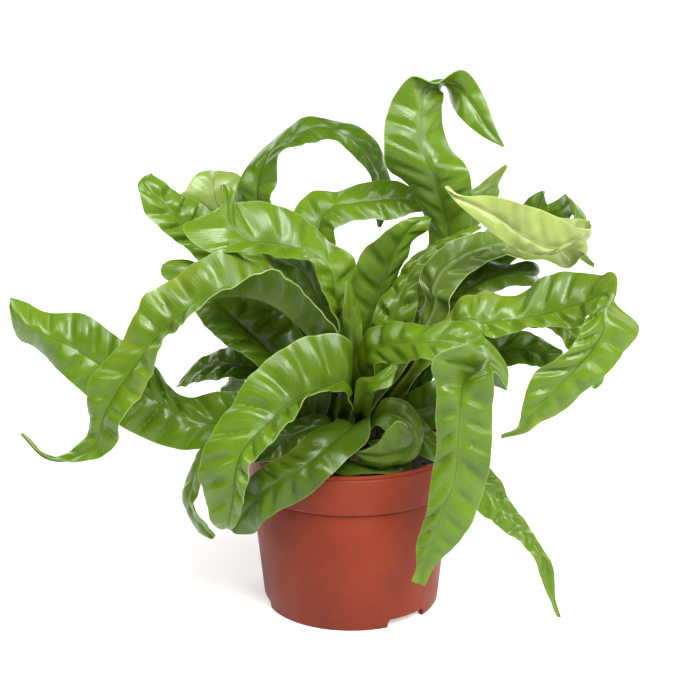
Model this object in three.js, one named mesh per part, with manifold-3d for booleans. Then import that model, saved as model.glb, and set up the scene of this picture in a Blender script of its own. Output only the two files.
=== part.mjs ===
// A potted fern of the bird's-nest kind, in millimetres, +Z up.
// The origin is on the pot's axis, on the surface that the pot stands on.
// The front of the plant faces -Y.

import * as THREE from "three";
import { mergeVertices } from "three/addons/utils/BufferGeometryUtils.js";
import Module from "manifold-3d";

const wasm = await Module();
wasm.setup();

// Driving dimensions of the pot
const POT_HEIGHT = 96;
const RIM_RADIUS = 60;
const BAND_HEIGHT = 23;
const BAND_STEP = 1.6;
const FOOT_RADIUS = 50.7;
const POT_WALL = 1.8;
const FLOOR_HEIGHT = 8;
const HUB_RADIUS = 6;
const FOOT_GAP_HEIGHT = 5;
const FOOT_GAP_TURNS = [-51, 69, 189];
const FOOT_GAP_ANGLE = 30;
const FOOT_GAP_DEPTH = 13.2;
const DRAIN_RADIUS = 4;
const DRAIN_RING = 34;
const DRAIN_COUNT = 6;
const POT_SIDES = 60;
const LIP_GROOVE_DEPTH = 0.5;
const BAND_EASE = 0.4;

// Driving dimensions of what fills the pot
const CLEARANCE = 0.3;
const SOIL_TOP = 84;
const CROWN_RADIUS = 28;
const CROWN_BOTTOM = 72;
const CROWN_EDGE = 93;
const CROWN_TOP = 101;
const CROWN_SIDES = 28;

// Driving dimensions of a frond
const BLADE_THICKNESS = 0.9;
const MIDRIB_THICKNESS = 1.7;
const STALK_HALF_WIDTH = 2.1;
const STALK_THICKNESS = 2.6;
const STALK_HOLE_RADIUS = 2.9;
const STALK_DEPTH = 9;
const STALK_RISE = 3;
const HOLE_RISE = 7;
const STALK_PULL = 0.8;
const SECTION_STEP = 14;
const WAVE_LENGTH = 40;
const WAVE_HEIGHT = 2.3;
const RIGHT_EDGE_LAG = 2.4;
const BLADE_ARCH = 0.07;
const BASE_SPREAD = 0.45;
const WAVE_FADE = 0.5;

// The fronds are placed as they are seen from the front: how far across and up each
// point appears, on the plane through the pot's axis, and how near it is to the viewer.
const VIEW_DISTANCE = 900;
const VIEW_HEIGHT = 412;
const VIEW_TILT = THREE.MathUtils.degToRad(16.2);
const VIEW_RANGE = 990;
const VIEW_CENTRE = 146.4;

function seen([across, up, near]) {
  const rise = up - VIEW_CENTRE;
  const ray = new THREE.Vector3(
    across,
    VIEW_RANGE * Math.cos(VIEW_TILT) + rise * Math.sin(VIEW_TILT),
    rise * Math.cos(VIEW_TILT) - VIEW_RANGE * Math.sin(VIEW_TILT),
  );
  const reach = (VIEW_DISTANCE - near) / ray.y;
  return new THREE.Vector3(0, -VIEW_DISTANCE, VIEW_HEIGHT).addScaledVector(ray, reach);
}

// Materials
const potPlastic = new THREE.MeshStandardMaterial({ color: 0xac503c, roughness: 0.5 });
const soilMix = new THREE.MeshStandardMaterial({ color: 0x3a2c22, roughness: 0.95 });
const crownFibre = new THREE.MeshStandardMaterial({ color: 0x4a3524, roughness: 0.9 });
const frondGreen = new THREE.MeshStandardMaterial({ color: 0x6f9a2e, roughness: 0.35 });
const frondYellowGreen = new THREE.MeshStandardMaterial({ color: 0xb4cc58, roughness: 0.35 });
const frondDark = new THREE.MeshStandardMaterial({ color: 0x3f6a1c, roughness: 0.4 });

// Joining and cutting
function toSolid(geometry) {
  const bare = geometry.clone();
  bare.deleteAttribute("normal");
  bare.deleteAttribute("uv");
  const merged = mergeVertices(bare, 1e-4);
  return new wasm.Manifold(new wasm.Mesh({
    numProp: 3,
    vertProperties: new Float32Array(merged.attributes.position.array),
    triVerts: new Uint32Array(merged.index.array),
  }));
}

function toGeometry(solid) {
  const mesh = solid.getMesh();
  const geometry = new THREE.BufferGeometry();
  geometry.setAttribute("position", new THREE.BufferAttribute(mesh.vertProperties, 3));
  geometry.setIndex(new THREE.BufferAttribute(mesh.triVerts, 1));
  geometry.computeVertexNormals();
  return geometry;
}

function lathe(profile, sides) {
  const points = profile.map(([radius, height]) => new THREE.Vector2(radius, height));
  const geometry = new THREE.LatheGeometry(points, sides);
  geometry.rotateX(Math.PI / 2);
  return toSolid(geometry);
}

function post(radius, from, to, sides = 10) {
  const axis = new THREE.Vector3().subVectors(to, from);
  const geometry = new THREE.CylinderGeometry(radius, radius, axis.length(), sides);
  const up = new THREE.Vector3(0, 1, 0);
  const turn = new THREE.Quaternion().setFromUnitVectors(up, axis.clone().normalize());
  geometry.applyQuaternion(turn);
  geometry.translate(...new THREE.Vector3().addVectors(from, to).multiplyScalar(0.5));
  return toSolid(geometry);
}

function around(turn, out, height) {
  const angle = THREE.MathUtils.degToRad(turn);
  return new THREE.Vector3(out * Math.cos(angle), out * Math.sin(angle), height);
}

// The pot
const BAND_BOTTOM = POT_HEIGHT - BAND_HEIGHT;
const BODY_RADIUS = RIM_RADIUS - BAND_STEP;
const BODY_SLOPE = (BODY_RADIUS - FOOT_RADIUS) / BAND_BOTTOM;

function bodyRadius(height) {
  return FOOT_RADIUS + BODY_SLOPE * height;
}

function makePot() {
  const outer = [
    [FOOT_RADIUS, 0],
    [BODY_RADIUS, BAND_BOTTOM],
    [RIM_RADIUS - BAND_EASE, BAND_BOTTOM],
    [RIM_RADIUS, BAND_BOTTOM + 1],
    [RIM_RADIUS, POT_HEIGHT - 3.2],
    [RIM_RADIUS - LIP_GROOVE_DEPTH, POT_HEIGHT - 2.6],
    [RIM_RADIUS - LIP_GROOVE_DEPTH, POT_HEIGHT - 2],
    [RIM_RADIUS, POT_HEIGHT - 1.4],
    [RIM_RADIUS - LIP_GROOVE_DEPTH, POT_HEIGHT],
  ];
  const inner = [
    [RIM_RADIUS - POT_WALL, POT_HEIGHT],
    [RIM_RADIUS - POT_WALL, BAND_BOTTOM + POT_WALL],
    [BODY_RADIUS - POT_WALL, BAND_BOTTOM],
    [bodyRadius(FLOOR_HEIGHT + POT_WALL) - POT_WALL, FLOOR_HEIGHT + POT_WALL],
    [0, FLOOR_HEIGHT + POT_WALL],
    [0, 0],
    [HUB_RADIUS, 0],
    [HUB_RADIUS + 1, FLOOR_HEIGHT],
    [bodyRadius(FLOOR_HEIGHT) - 2 * POT_WALL, FLOOR_HEIGHT],
    [FOOT_RADIUS - 2 * POT_WALL, 0],
  ];
  const profile = [...outer, ...inner, outer[0]];
  let pot = lathe(profile, POT_SIDES);
  for (const turn of FOOT_GAP_TURNS) {
    const gap = new THREE.BoxGeometry(
      FOOT_GAP_DEPTH,
      2 * FOOT_RADIUS * Math.sin(THREE.MathUtils.degToRad(FOOT_GAP_ANGLE / 2)),
      2 * FOOT_GAP_HEIGHT,
    );
    gap.translate(FOOT_RADIUS - POT_WALL, 0, 0);
    gap.rotateZ(THREE.MathUtils.degToRad(turn));
    pot = pot.subtract(toSolid(gap));
  }
  for (let hole = 0; hole < DRAIN_COUNT; hole += 1) {
    const turn = (hole * 360) / DRAIN_COUNT;
    const low = around(turn, DRAIN_RING, FLOOR_HEIGHT - 2);
    const high = around(turn, DRAIN_RING, FLOOR_HEIGHT + POT_WALL + 2);
    pot = pot.subtract(post(DRAIN_RADIUS, low, high, 16));
  }
  return pot;
}

// The soil, with the hollow that the crown stands in
function makeSoil() {
  const bottom = FLOOR_HEIGHT + POT_WALL + CLEARANCE;
  const wall = POT_WALL + CLEARANCE;
  const soil = lathe([
    [0, bottom],
    [bodyRadius(bottom) - wall, bottom],
    [BODY_RADIUS - wall, BAND_BOTTOM],
    [BODY_RADIUS - wall, SOIL_TOP - 2],
    [BODY_RADIUS - wall - 8, SOIL_TOP],
    [0, SOIL_TOP + 2],
  ], POT_SIDES);
  const low = new THREE.Vector3(0, 0, CROWN_BOTTOM - CLEARANCE);
  const high = new THREE.Vector3(0, 0, POT_HEIGHT);
  return soil.subtract(post(CROWN_RADIUS + CLEARANCE, low, high, CROWN_SIDES));
}

// The crown, a low dome with one plain hole for each stalk
function crownHeight(out) {
  const share = out / CROWN_RADIUS;
  return CROWN_EDGE + (CROWN_TOP - CROWN_EDGE) * (1 - share * share);
}

function stalkFoot({ turn, out, lean }) {
  const top = around(turn, out, crownHeight(out));
  const slope = THREE.MathUtils.degToRad(lean);
  const flat = around(turn, Math.sin(slope), 0);
  const direction = new THREE.Vector3(flat.x, flat.y, Math.cos(slope));
  return { top, direction };
}

function makeCrown(fronds) {
  const dome = [[0, CROWN_BOTTOM], [CROWN_RADIUS - 2, CROWN_BOTTOM], [CROWN_RADIUS, CROWN_BOTTOM + 3]];
  for (let out = CROWN_RADIUS; out >= 0; out -= 7) {
    dome.push([out, crownHeight(out)]);
  }
  let crown = lathe(dome, CROWN_SIDES);
  for (const frond of fronds) {
    const { top, direction } = stalkFoot(frond.foot);
    const low = top.clone().addScaledVector(direction, -STALK_DEPTH - CLEARANCE);
    const high = top.clone().addScaledVector(direction, HOLE_RISE);
    crown = crown.subtract(post(STALK_HOLE_RADIUS, low, high, 8));
  }
  return crown;
}

// A frond's three lines, the midrib and the two edges, run through its listed sections.
// They start at the stalk, which leaves the crown in a straight line.
function hermite(from, fromPull, to, toPull, share) {
  const square = share * share;
  const cube = square * share;
  return new THREE.Vector3()
    .addScaledVector(from, 2 * cube - 3 * square + 1)
    .addScaledVector(fromPull, cube - 2 * square + share)
    .addScaledVector(to, 3 * square - 2 * cube)
    .addScaledVector(toPull, cube - square);
}

function pulls(line, startPull) {
  return line.map((point, index) => {
    if (index === 0) return startPull;
    const next = line[Math.min(index + 1, line.length - 1)];
    const last = line[index - 1];
    const factor = index === line.length - 1 ? 1 : 0.5;
    return new THREE.Vector3().subVectors(next, last).multiplyScalar(factor);
  });
}

function frondLines(frond) {
  const { top, direction } = stalkFoot(frond.foot);
  const spot = (point) => (point.isVector3 ? point : seen(point));
  const rows = frond.rows.map((row) => row.map(spot));
  const [midrib, left, right] = rows[0];
  const side = new THREE.Vector3().subVectors(right, left);
  side.addScaledVector(direction, -side.dot(direction)).setLength(STALK_HALF_WIDTH);
  const start = top.clone().addScaledVector(direction, STALK_RISE);
  const foot = top.clone().addScaledVector(direction, -STALK_DEPTH);
  const reach = start.distanceTo(midrib);
  const pull = direction.clone().multiplyScalar(reach * STALK_PULL);
  const shifts = [0, -1, 1];
  const lines = shifts.map((shift, index) => {
    const line = [start.clone().addScaledVector(side, shift)];
    line.push(...rows.map((row) => row[index]));
    return line;
  });
  return { lines, foot, side, pull, shifts };
}

// Between the stalk and the first listed section a blade widens early
function spreadBase([rib, left, right], share, most) {
  const spread = 1 + most * Math.sin(Math.PI * share);
  left.sub(rib).multiplyScalar(spread).add(rib);
  right.sub(rib).multiplyScalar(spread).add(rib);
}

// The blade as rows of five points: edge, half blade, midrib, half blade, edge
function frondRows(frond) {
  const { lines, foot, side, pull, shifts } = frondLines(frond);
  const slopes = lines.map((line) => pulls(line, pull));
  const rails = [shifts.map((shift) => foot.clone().addScaledVector(side, shift))];
  const ribLine = lines[0];
  rails.push(lines.map((line) => line[0].clone()));
  for (let span = 0; span < ribLine.length - 1; span += 1) {
    const length = ribLine[span].distanceTo(ribLine[span + 1]);
    const steps = Math.max(1, Math.round(length / SECTION_STEP));
    for (let step = 1; step <= steps; step += 1) {
      const share = step / steps;
      const rail = lines.map((line, side) => hermite(
        line[span], slopes[side][span], line[span + 1], slopes[side][span + 1], share));
      if (span === 0) spreadBase(rail, share, frond.spread ?? BASE_SPREAD);
      rails.push(rail);
    }
  }
  return waveEdges(rails, frond);
}

function waveEdges(rails, frond) {
  let length = 0;
  const total = rails.reduce((sum, rail, index) => (
    index === 0 ? 0 : sum + rail[0].distanceTo(rails[index - 1][0])), 0);
  return rails.map(([rib, left, right], index) => {
    if (index > 0) length += rib.distanceTo(rails[index - 1][0]);
    const ahead = rails[Math.min(index + 1, rails.length - 1)][0];
    const behind = rails[Math.max(index - 1, 0)][0];
    const along = new THREE.Vector3().subVectors(ahead, behind);
    const across = new THREE.Vector3().subVectors(right, left);
    const upper = new THREE.Vector3().crossVectors(across, along).normalize();
    const onBlade = index < 2 ? 0 : 1;
    const fade = onBlade * Math.sin(Math.PI * Math.min(1, length / total)) ** WAVE_FADE;
    const angle = (2 * Math.PI * length) / WAVE_LENGTH + frond.phase;
    const wave = fade * WAVE_HEIGHT;
    const arch = onBlade * BLADE_ARCH * across.length() * 0.5;
    const leftEdge = left.clone().addScaledVector(upper, wave * Math.sin(angle));
    const rightEdge = right.clone().addScaledVector(upper, wave * Math.sin(angle + RIGHT_EDGE_LAG));
    const halfLeft = new THREE.Vector3().addVectors(rib, leftEdge).multiplyScalar(0.5);
    const halfRight = new THREE.Vector3().addVectors(rib, rightEdge).multiplyScalar(0.5);
    halfLeft.addScaledVector(upper, arch);
    halfRight.addScaledVector(upper, arch);
    return [leftEdge, halfLeft, rib, halfRight, rightEdge];
  });
}

// The blade's two faces, with the same diagonals, and the walls that close them
function surfaceNormal(rows, row, column) {
  const last = rows.length - 1;
  const end = rows[row].length - 1;
  const along = new THREE.Vector3().subVectors(
    rows[Math.min(row + 1, last)][column], rows[Math.max(row - 1, 0)][column]);
  const across = new THREE.Vector3().subVectors(
    rows[row][Math.min(column + 1, end)], rows[row][Math.max(column - 1, 0)]);
  return new THREE.Vector3().crossVectors(across, along).normalize();
}

function makeFrond(frond) {
  const rows = frondRows(frond);
  const columns = rows[0].length;
  const middle = (columns - 1) / 2;
  const positions = [];
  for (const face of [1, -1]) {
    rows.forEach((row, index) => row.forEach((point, column) => {
      const normal = surfaceNormal(rows, index, column);
      const stalk = index < 2;
      const lower = column === middle ? MIDRIB_THICKNESS : BLADE_THICKNESS;
      const full = stalk ? STALK_THICKNESS : lower;
      const above = stalk ? STALK_THICKNESS / 2 : BLADE_THICKNESS / 2;
      const shift = face === 1 ? above : above - full;
      positions.push(...point.clone().addScaledVector(normal, shift));
    }));
  }
  const size = rows.length * columns;
  const at = (face, row, column) => face * size + row * columns + column;
  const index = [];
  const quad = (a, b, c, d) => index.push(a, b, c, a, c, d);
  for (let row = 0; row < rows.length - 1; row += 1) {
    for (let column = 0; column < columns - 1; column += 1) {
      const corners = [[row, column], [row, column + 1], [row + 1, column + 1], [row + 1, column]];
      const [a, b, c, d] = corners.map(([r, k]) => at(0, r, k));
      const [e, f, g, h] = corners.map(([r, k]) => at(1, r, k));
      index.push(a, b, c, a, c, d);
      index.push(e, g, f, e, h, g);
    }
    quad(at(0, row, 0), at(0, row + 1, 0), at(1, row + 1, 0), at(1, row, 0));
    const edge = columns - 1;
    quad(at(0, row, edge), at(1, row, edge), at(1, row + 1, edge), at(0, row + 1, edge));
  }
  const tip = rows.length - 1;
  for (let column = 0; column < columns - 1; column += 1) {
    quad(at(0, 0, column), at(1, 0, column), at(1, 0, column + 1), at(0, 0, column + 1));
    quad(at(0, tip, column), at(0, tip, column + 1), at(1, tip, column + 1), at(1, tip, column));
  }
  const geometry = new THREE.BufferGeometry();
  geometry.setAttribute("position", new THREE.BufferAttribute(new Float32Array(positions), 3));
  geometry.setIndex(index);
  geometry.computeVertexNormals();
  return geometry;
}

// Each section of a frond lists its midrib, its left edge and its right edge, in
// millimetres across, up and near, from the stalk to the tip. A foot is its place on the
// crown: its turn about the pot's axis, how far out it stands and how far it leans.

const leftFronds = [
  {
    name: "frond_far_left",
    foot: { turn: 186, out: 23, lean: 30 },
    phase: 0.4,
    rows: [
      [[-32, 103, 5], [-30, 96, 10], [-33, 112, -2]],
      [[-53, 102, 6], [-54, 88, 17], [-53, 120, -3]],
      [[-76, 102, 12], [-78, 88, 23], [-77, 121, 3]],
      [[-97, 104, 14], [-101, 86, 20], [-101, 119, 3]],
      [[-114, 114, 15], [-121, 92, 20], [-117, 136, 6]],
      [[-132, 126, 14], [-140, 102, 18], [-128, 146, 5]],
      [[-152, 139, 12], [-158, 118, 16], [-141, 155, 4]],
      [[-169, 149, 10], [-171, 130, 12], [-160, 168, 2]],
      [[-187, 157, 7], [-189, 147, -2], [-181, 169, -4]],
      [[-199, 165, 2], [-200, 154, -6], [-194, 175, -8]],
      [[-205, 175, -4], [-205, 172, -5], [-204, 178, -6]],
    ],
  },
  {
    name: "frond_left_arch",
    foot: { turn: 222, out: 23, lean: 26 },
    phase: 2.1,
    rows: [
      [[-20, 144, 24], [-10, 148, 34], [-24, 150, 14]],
      [[-34, 165, 28], [-23, 177, 38], [-32, 178, 12]],
      [[-49, 176, 31], [-41, 189, 44], [-45, 194, 15]],
      [[-66, 180, 34], [-60, 192, 50], [-61, 200, 18]],
      [[-84, 178, 38], [-78, 181, 56], [-82, 204, 26]],
      [[-101, 169, 42], [-96, 166, 60], [-105, 192, 30]],
      [[-117, 154, 46], [-109, 157, 63], [-124, 175, 36]],
      [[-129, 138, 49], [-116, 140, 64], [-140, 150, 40]],
      [[-141, 121, 51], [-126, 121, 63], [-154, 131, 44]],
      [[-149, 106, 52], [-136, 105, 63], [-159, 111, 47]],
      [[-153, 91, 52], [-143, 88, 61], [-158, 96, 46]],
      [[-167, 82, 50], [-162, 79, 57], [-170, 84, 44]],
      [[-183, 83, 46], [-181, 81, 50], [-184, 85, 42]],
      [[-197, 97, 40], [-197, 96, 42], [-198, 97, 38]],
    ],
  },
  {
    name: "frond_upper_left_arch",
    foot: { turn: 200, out: 8.5, lean: 8 },
    phase: 1.2,
    rows: [
      [[-7, 149, 8], [-8, 147, 18], [-2, 152, -5]],
      [[-9, 176, 6], [-14, 174, 18], [1, 182, -9]],
      [[-13, 196, 4], [-19, 190, 18], [0, 199, -12]],
      [[-26, 206, 5], [-29, 199, 20], [-14, 215, -12]],
      [[-41, 210, 7], [-44, 203, 22], [-31, 226, -9]],
      [[-53, 211, 10], [-56, 205, 23], [-50, 234, -5]],
      [[-62, 212, 13], [-70, 204, 25], [-66, 235, -2]],
      [[-69, 217, 14], [-86, 205, 24], [-69, 236, 1]],
      [[-73, 225, 14], [-98, 214, 22], [-70, 239, 5]],
      [[-74, 232, 13], [-99, 223, 20], [-71, 241, 7]],
      [[-75, 239, 12], [-80, 228, 15], [-72, 244, 9]],
      [[-77, 246, 10], [-77, 245, 11], [-76, 246, 10]],
    ],
  },
  {
    name: "frond_mid_left",
    foot: { turn: 176, out: 15.5, lean: 16 },
    phase: 3.3,
    material: frondDark,
    rows: [
      [[-24, 122, -2], [-34, 116, 4], [-12, 132, -6]],
      [[-40, 138, -2], [-52, 132, 8], [-24, 146, -8]],
      [[-52, 149, 0], [-64, 143, 12], [-30, 158, -8]],
      [[-66, 162, 3], [-78, 152, 14], [-44, 170, -8]],
      [[-78, 173, 4], [-88, 160, 12], [-64, 180, -8]],
      [[-88, 182, 2], [-95, 172, 6], [-79, 187, -6]],
      [[-96, 190, -4], [-97, 188, -3], [-94, 191, -6]],
    ],
  },
  {
    name: "frond_upper_left",
    foot: { turn: 150, out: 15.5, lean: 14 },
    phase: 0.9,
    spread: 0,
    rows: [
      [[-38, 160, -22], [-46, 156, -18], [-30, 166, -28]],
      [[-66, 188, -30], [-74, 182, -24], [-60, 198, -36]],
      [[-89, 211, -32], [-97, 206, -24], [-82, 224, -38]],
      [[-102, 224, -30], [-112, 216, -22], [-92, 236, -38]],
      [[-112, 234, -28], [-123, 228, -21], [-103, 240, -38]],
      [[-121, 243, -28], [-127, 241, -24], [-112, 246, -36]],
      [[-125, 248, -31], [-128, 246, -30], [-119, 251, -36]],
      [[-120, 253, -39], [-121, 252, -39], [-119, 253, -40]],
    ],
  },
  {
    name: "frond_pale_curl",
    foot: { turn: 114, out: 23, lean: 14 },
    phase: 2.7,
    material: frondYellowGreen,
    rows: [
      [[-32, 172, -52], [-40, 170, -48], [-26, 178, -58]],
      [[-56, 208, -60], [-66, 204, -54], [-50, 216, -68]],
      [[-73, 225, -56], [-86, 218, -50], [-62, 236, -64]],
      [[-80, 233, -52], [-102, 236, -46], [-64, 243, -60]],
      [[-82, 242, -52], [-99, 243, -47], [-65, 248, -62]],
      [[-82, 250, -57], [-94, 251, -53], [-70, 252, -64]],
      [[-82, 254, -64], [-84, 254, -63], [-80, 254, -65]],
    ],
  },
  {
    name: "frond_small_dark_left",
    foot: { turn: 150, out: 23, lean: 26 },
    phase: 1.8,
    material: frondDark,
    spread: 0,
    rows: [
      [[-44, 153, -27], [-46, 148, -22], [-42, 160, -32]],
      [[-70, 176, -28], [-72, 169, -20], [-67, 184, -36]],
      [[-94, 190, -26], [-97, 182, -18], [-92, 198, -34]],
      [[-108, 195, -24], [-110, 188, -17], [-107, 200, -31]],
      [[-114, 194, -21], [-114, 191, -18], [-114, 197, -24]],
    ],
  },
  {
    name: "frond_left_curl",
    foot: { turn: 168, out: 23, lean: 20 },
    phase: 0.2,
    material: frondDark,
    spread: 0,
    rows: [
      [[-38, 129, -9], [-42, 123, -3], [-34, 137, -15]],
      [[-60, 136, -13], [-64, 130, -6], [-54, 142, -19]],
      [[-78, 138, -18], [-84, 127, -8], [-73, 149, -28]],
      [[-92, 134, -18], [-98, 126, -10], [-87, 143, -26]],
      [[-104, 126, -20], [-105, 124, -18], [-103, 127, -22]],
    ],
  },
];

const topFronds = [
  {
    name: "frond_high_loop",
    foot: { turn: 118, out: 15.5, lean: 6 },
    phase: 0.5,
    material: frondDark,
    rows: [
      [[-20, 176, -42], [-28, 174, -47], [-13, 179, -38]],
      [[-40, 209, -51], [-49, 206, -57], [-31, 212, -46]],
      [[-55, 233, -50], [-64, 234, -56], [-46, 235, -42]],
      [[-56, 248, -54], [-65, 249, -58], [-46, 246, -46]],
      [[-50, 263, -56], [-57, 265, -64], [-43, 262, -48]],
      [[-38, 272, -56], [-43, 275, -66], [-33, 268, -46]],
      [[-21, 280, -56], [-21, 286, -66], [-20, 273, -46]],
      [[-4, 276, -56], [0, 282, -66], [-7, 269, -46]],
      [[9, 265, -58], [14, 271, -66], [3, 262, -50]],
      [[17, 251, -62], [22, 257, -68], [10, 252, -54]],
      [[19, 235, -66], [24, 236, -69], [13, 234, -61]],
      [[17, 220, -68], [18, 220, -68], [16, 220, -68]],
    ],
  },
  {
    name: "frond_twisted_over",
    foot: { turn: 142, out: 8.5, lean: 8 },
    phase: 1.1,
    spread: 0,
    rows: [
      [[-8, 178, -23], [-18, 180, -28], [0, 178, -18]],
      [[-17, 203, -29], [-30, 207, -35], [-8, 200, -22]],
      [[-19, 221, -34], [-34, 229, -42], [-11, 216, -24]],
      [[-12, 232, -37], [-24, 242, -48], [-8, 219, -27]],
      [[0, 234, -38], [-6, 242, -51], [2, 223, -28]],
      [[13, 236, -38], [11, 246, -50], [14, 226, -29]],
      [[25, 237, -38], [24, 249, -47], [25, 224, -30]],
      [[37, 236, -37], [36, 244, -43], [37, 228, -32]],
      [[51, 232, -35], [51, 233, -36], [51, 231, -34]],
    ],
  },
  {
    name: "frond_tall_top",
    foot: { turn: 50, out: 8.5, lean: 8 },
    phase: 2.4,
    spread: 0,
    rows: [
      [[46, 162, -12], [39, 160, -14], [54, 164, -9]],
      [[56, 194, -22], [46, 194, -28], [68, 197, -19]],
      [[58, 220, -25], [44, 226, -31], [73, 224, -19]],
      [[53, 239, -19], [36, 244, -26], [72, 241, -11]],
      [[49, 253, -16], [23, 253, -21], [71, 254, -16]],
      [[43, 266, -19], [19, 266, -20], [61, 266, -28]],
      [[42, 281, -24], [20, 282, -23], [55, 283, -35]],
      [[43, 296, -29], [26, 298, -26], [54, 297, -40]],
      [[47, 305, -34], [36, 311, -27], [54, 302, -45]],
      [[55, 307, -36], [51, 309, -25], [56, 303, -48]],
      [[64, 304, -34], [67, 314, -30], [60, 295, -42]],
      [[73, 293, -29], [79, 300, -30], [67, 284, -28]],
      [[82, 279, -24], [86, 281, -25], [78, 275, -23]],
      [[91, 269, -19], [92, 269, -19], [91, 268, -19]],
    ],
  },
  {
    name: "frond_behind_spike",
    foot: { turn: 66, out: 15.5, lean: 12 },
    phase: 3.0,
    rows: [
      [[40, 180, -48], [32, 180, -50], [48, 180, -46]],
      [[60, 215, -56], [50, 217, -58], [70, 212, -54]],
      [[76, 236, -58], [64, 240, -60], [88, 238, -52]],
      [[84, 246, -60], [74, 244, -64], [89, 245, -56]],
      [[93, 257, -62], [93, 258, -62], [94, 257, -62]],
    ],
  },
  {
    name: "frond_centre_top",
    foot: { turn: 96, out: 8.5, lean: 8 },
    phase: 0.8,
    spread: 0,
    rows: [
      [[10, 158, -15], [1, 160, -12], [20, 160, -18]],
      [[17, 178, -20], [-1, 184, -16], [27, 184, -23]],
      [[22, 194, -19], [6, 202, -12], [31, 200, -27]],
      [[29, 210, -19], [17, 216, -14], [37, 211, -24]],
      [[36, 220, -19], [28, 223, -16], [45, 217, -22]],
      [[42, 224, -21], [36, 226, -20], [47, 222, -23]],
      [[47, 226, -25], [46, 227, -25], [48, 226, -25]],
    ],
  },
  {
    name: "frond_lit_right",
    foot: { turn: 4, out: 8.5, lean: 4 },
    phase: 1.6,
    spread: 0,
    rows: [
      [[25, 163, 0], [14, 166, -4], [37, 163, 2]],
      [[31, 183, -5], [24, 185, -8], [40, 184, -4]],
      [[42, 202, -11], [33, 197, -14], [48, 197, -8]],
      [[54, 211, -13], [44, 207, -17], [58, 206, -10]],
      [[66, 217, -13], [57, 214, -17], [70, 213, -10]],
      [[78, 221, -17], [77, 221, -17], [78, 220, -16]],
    ],
  },
];

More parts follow.
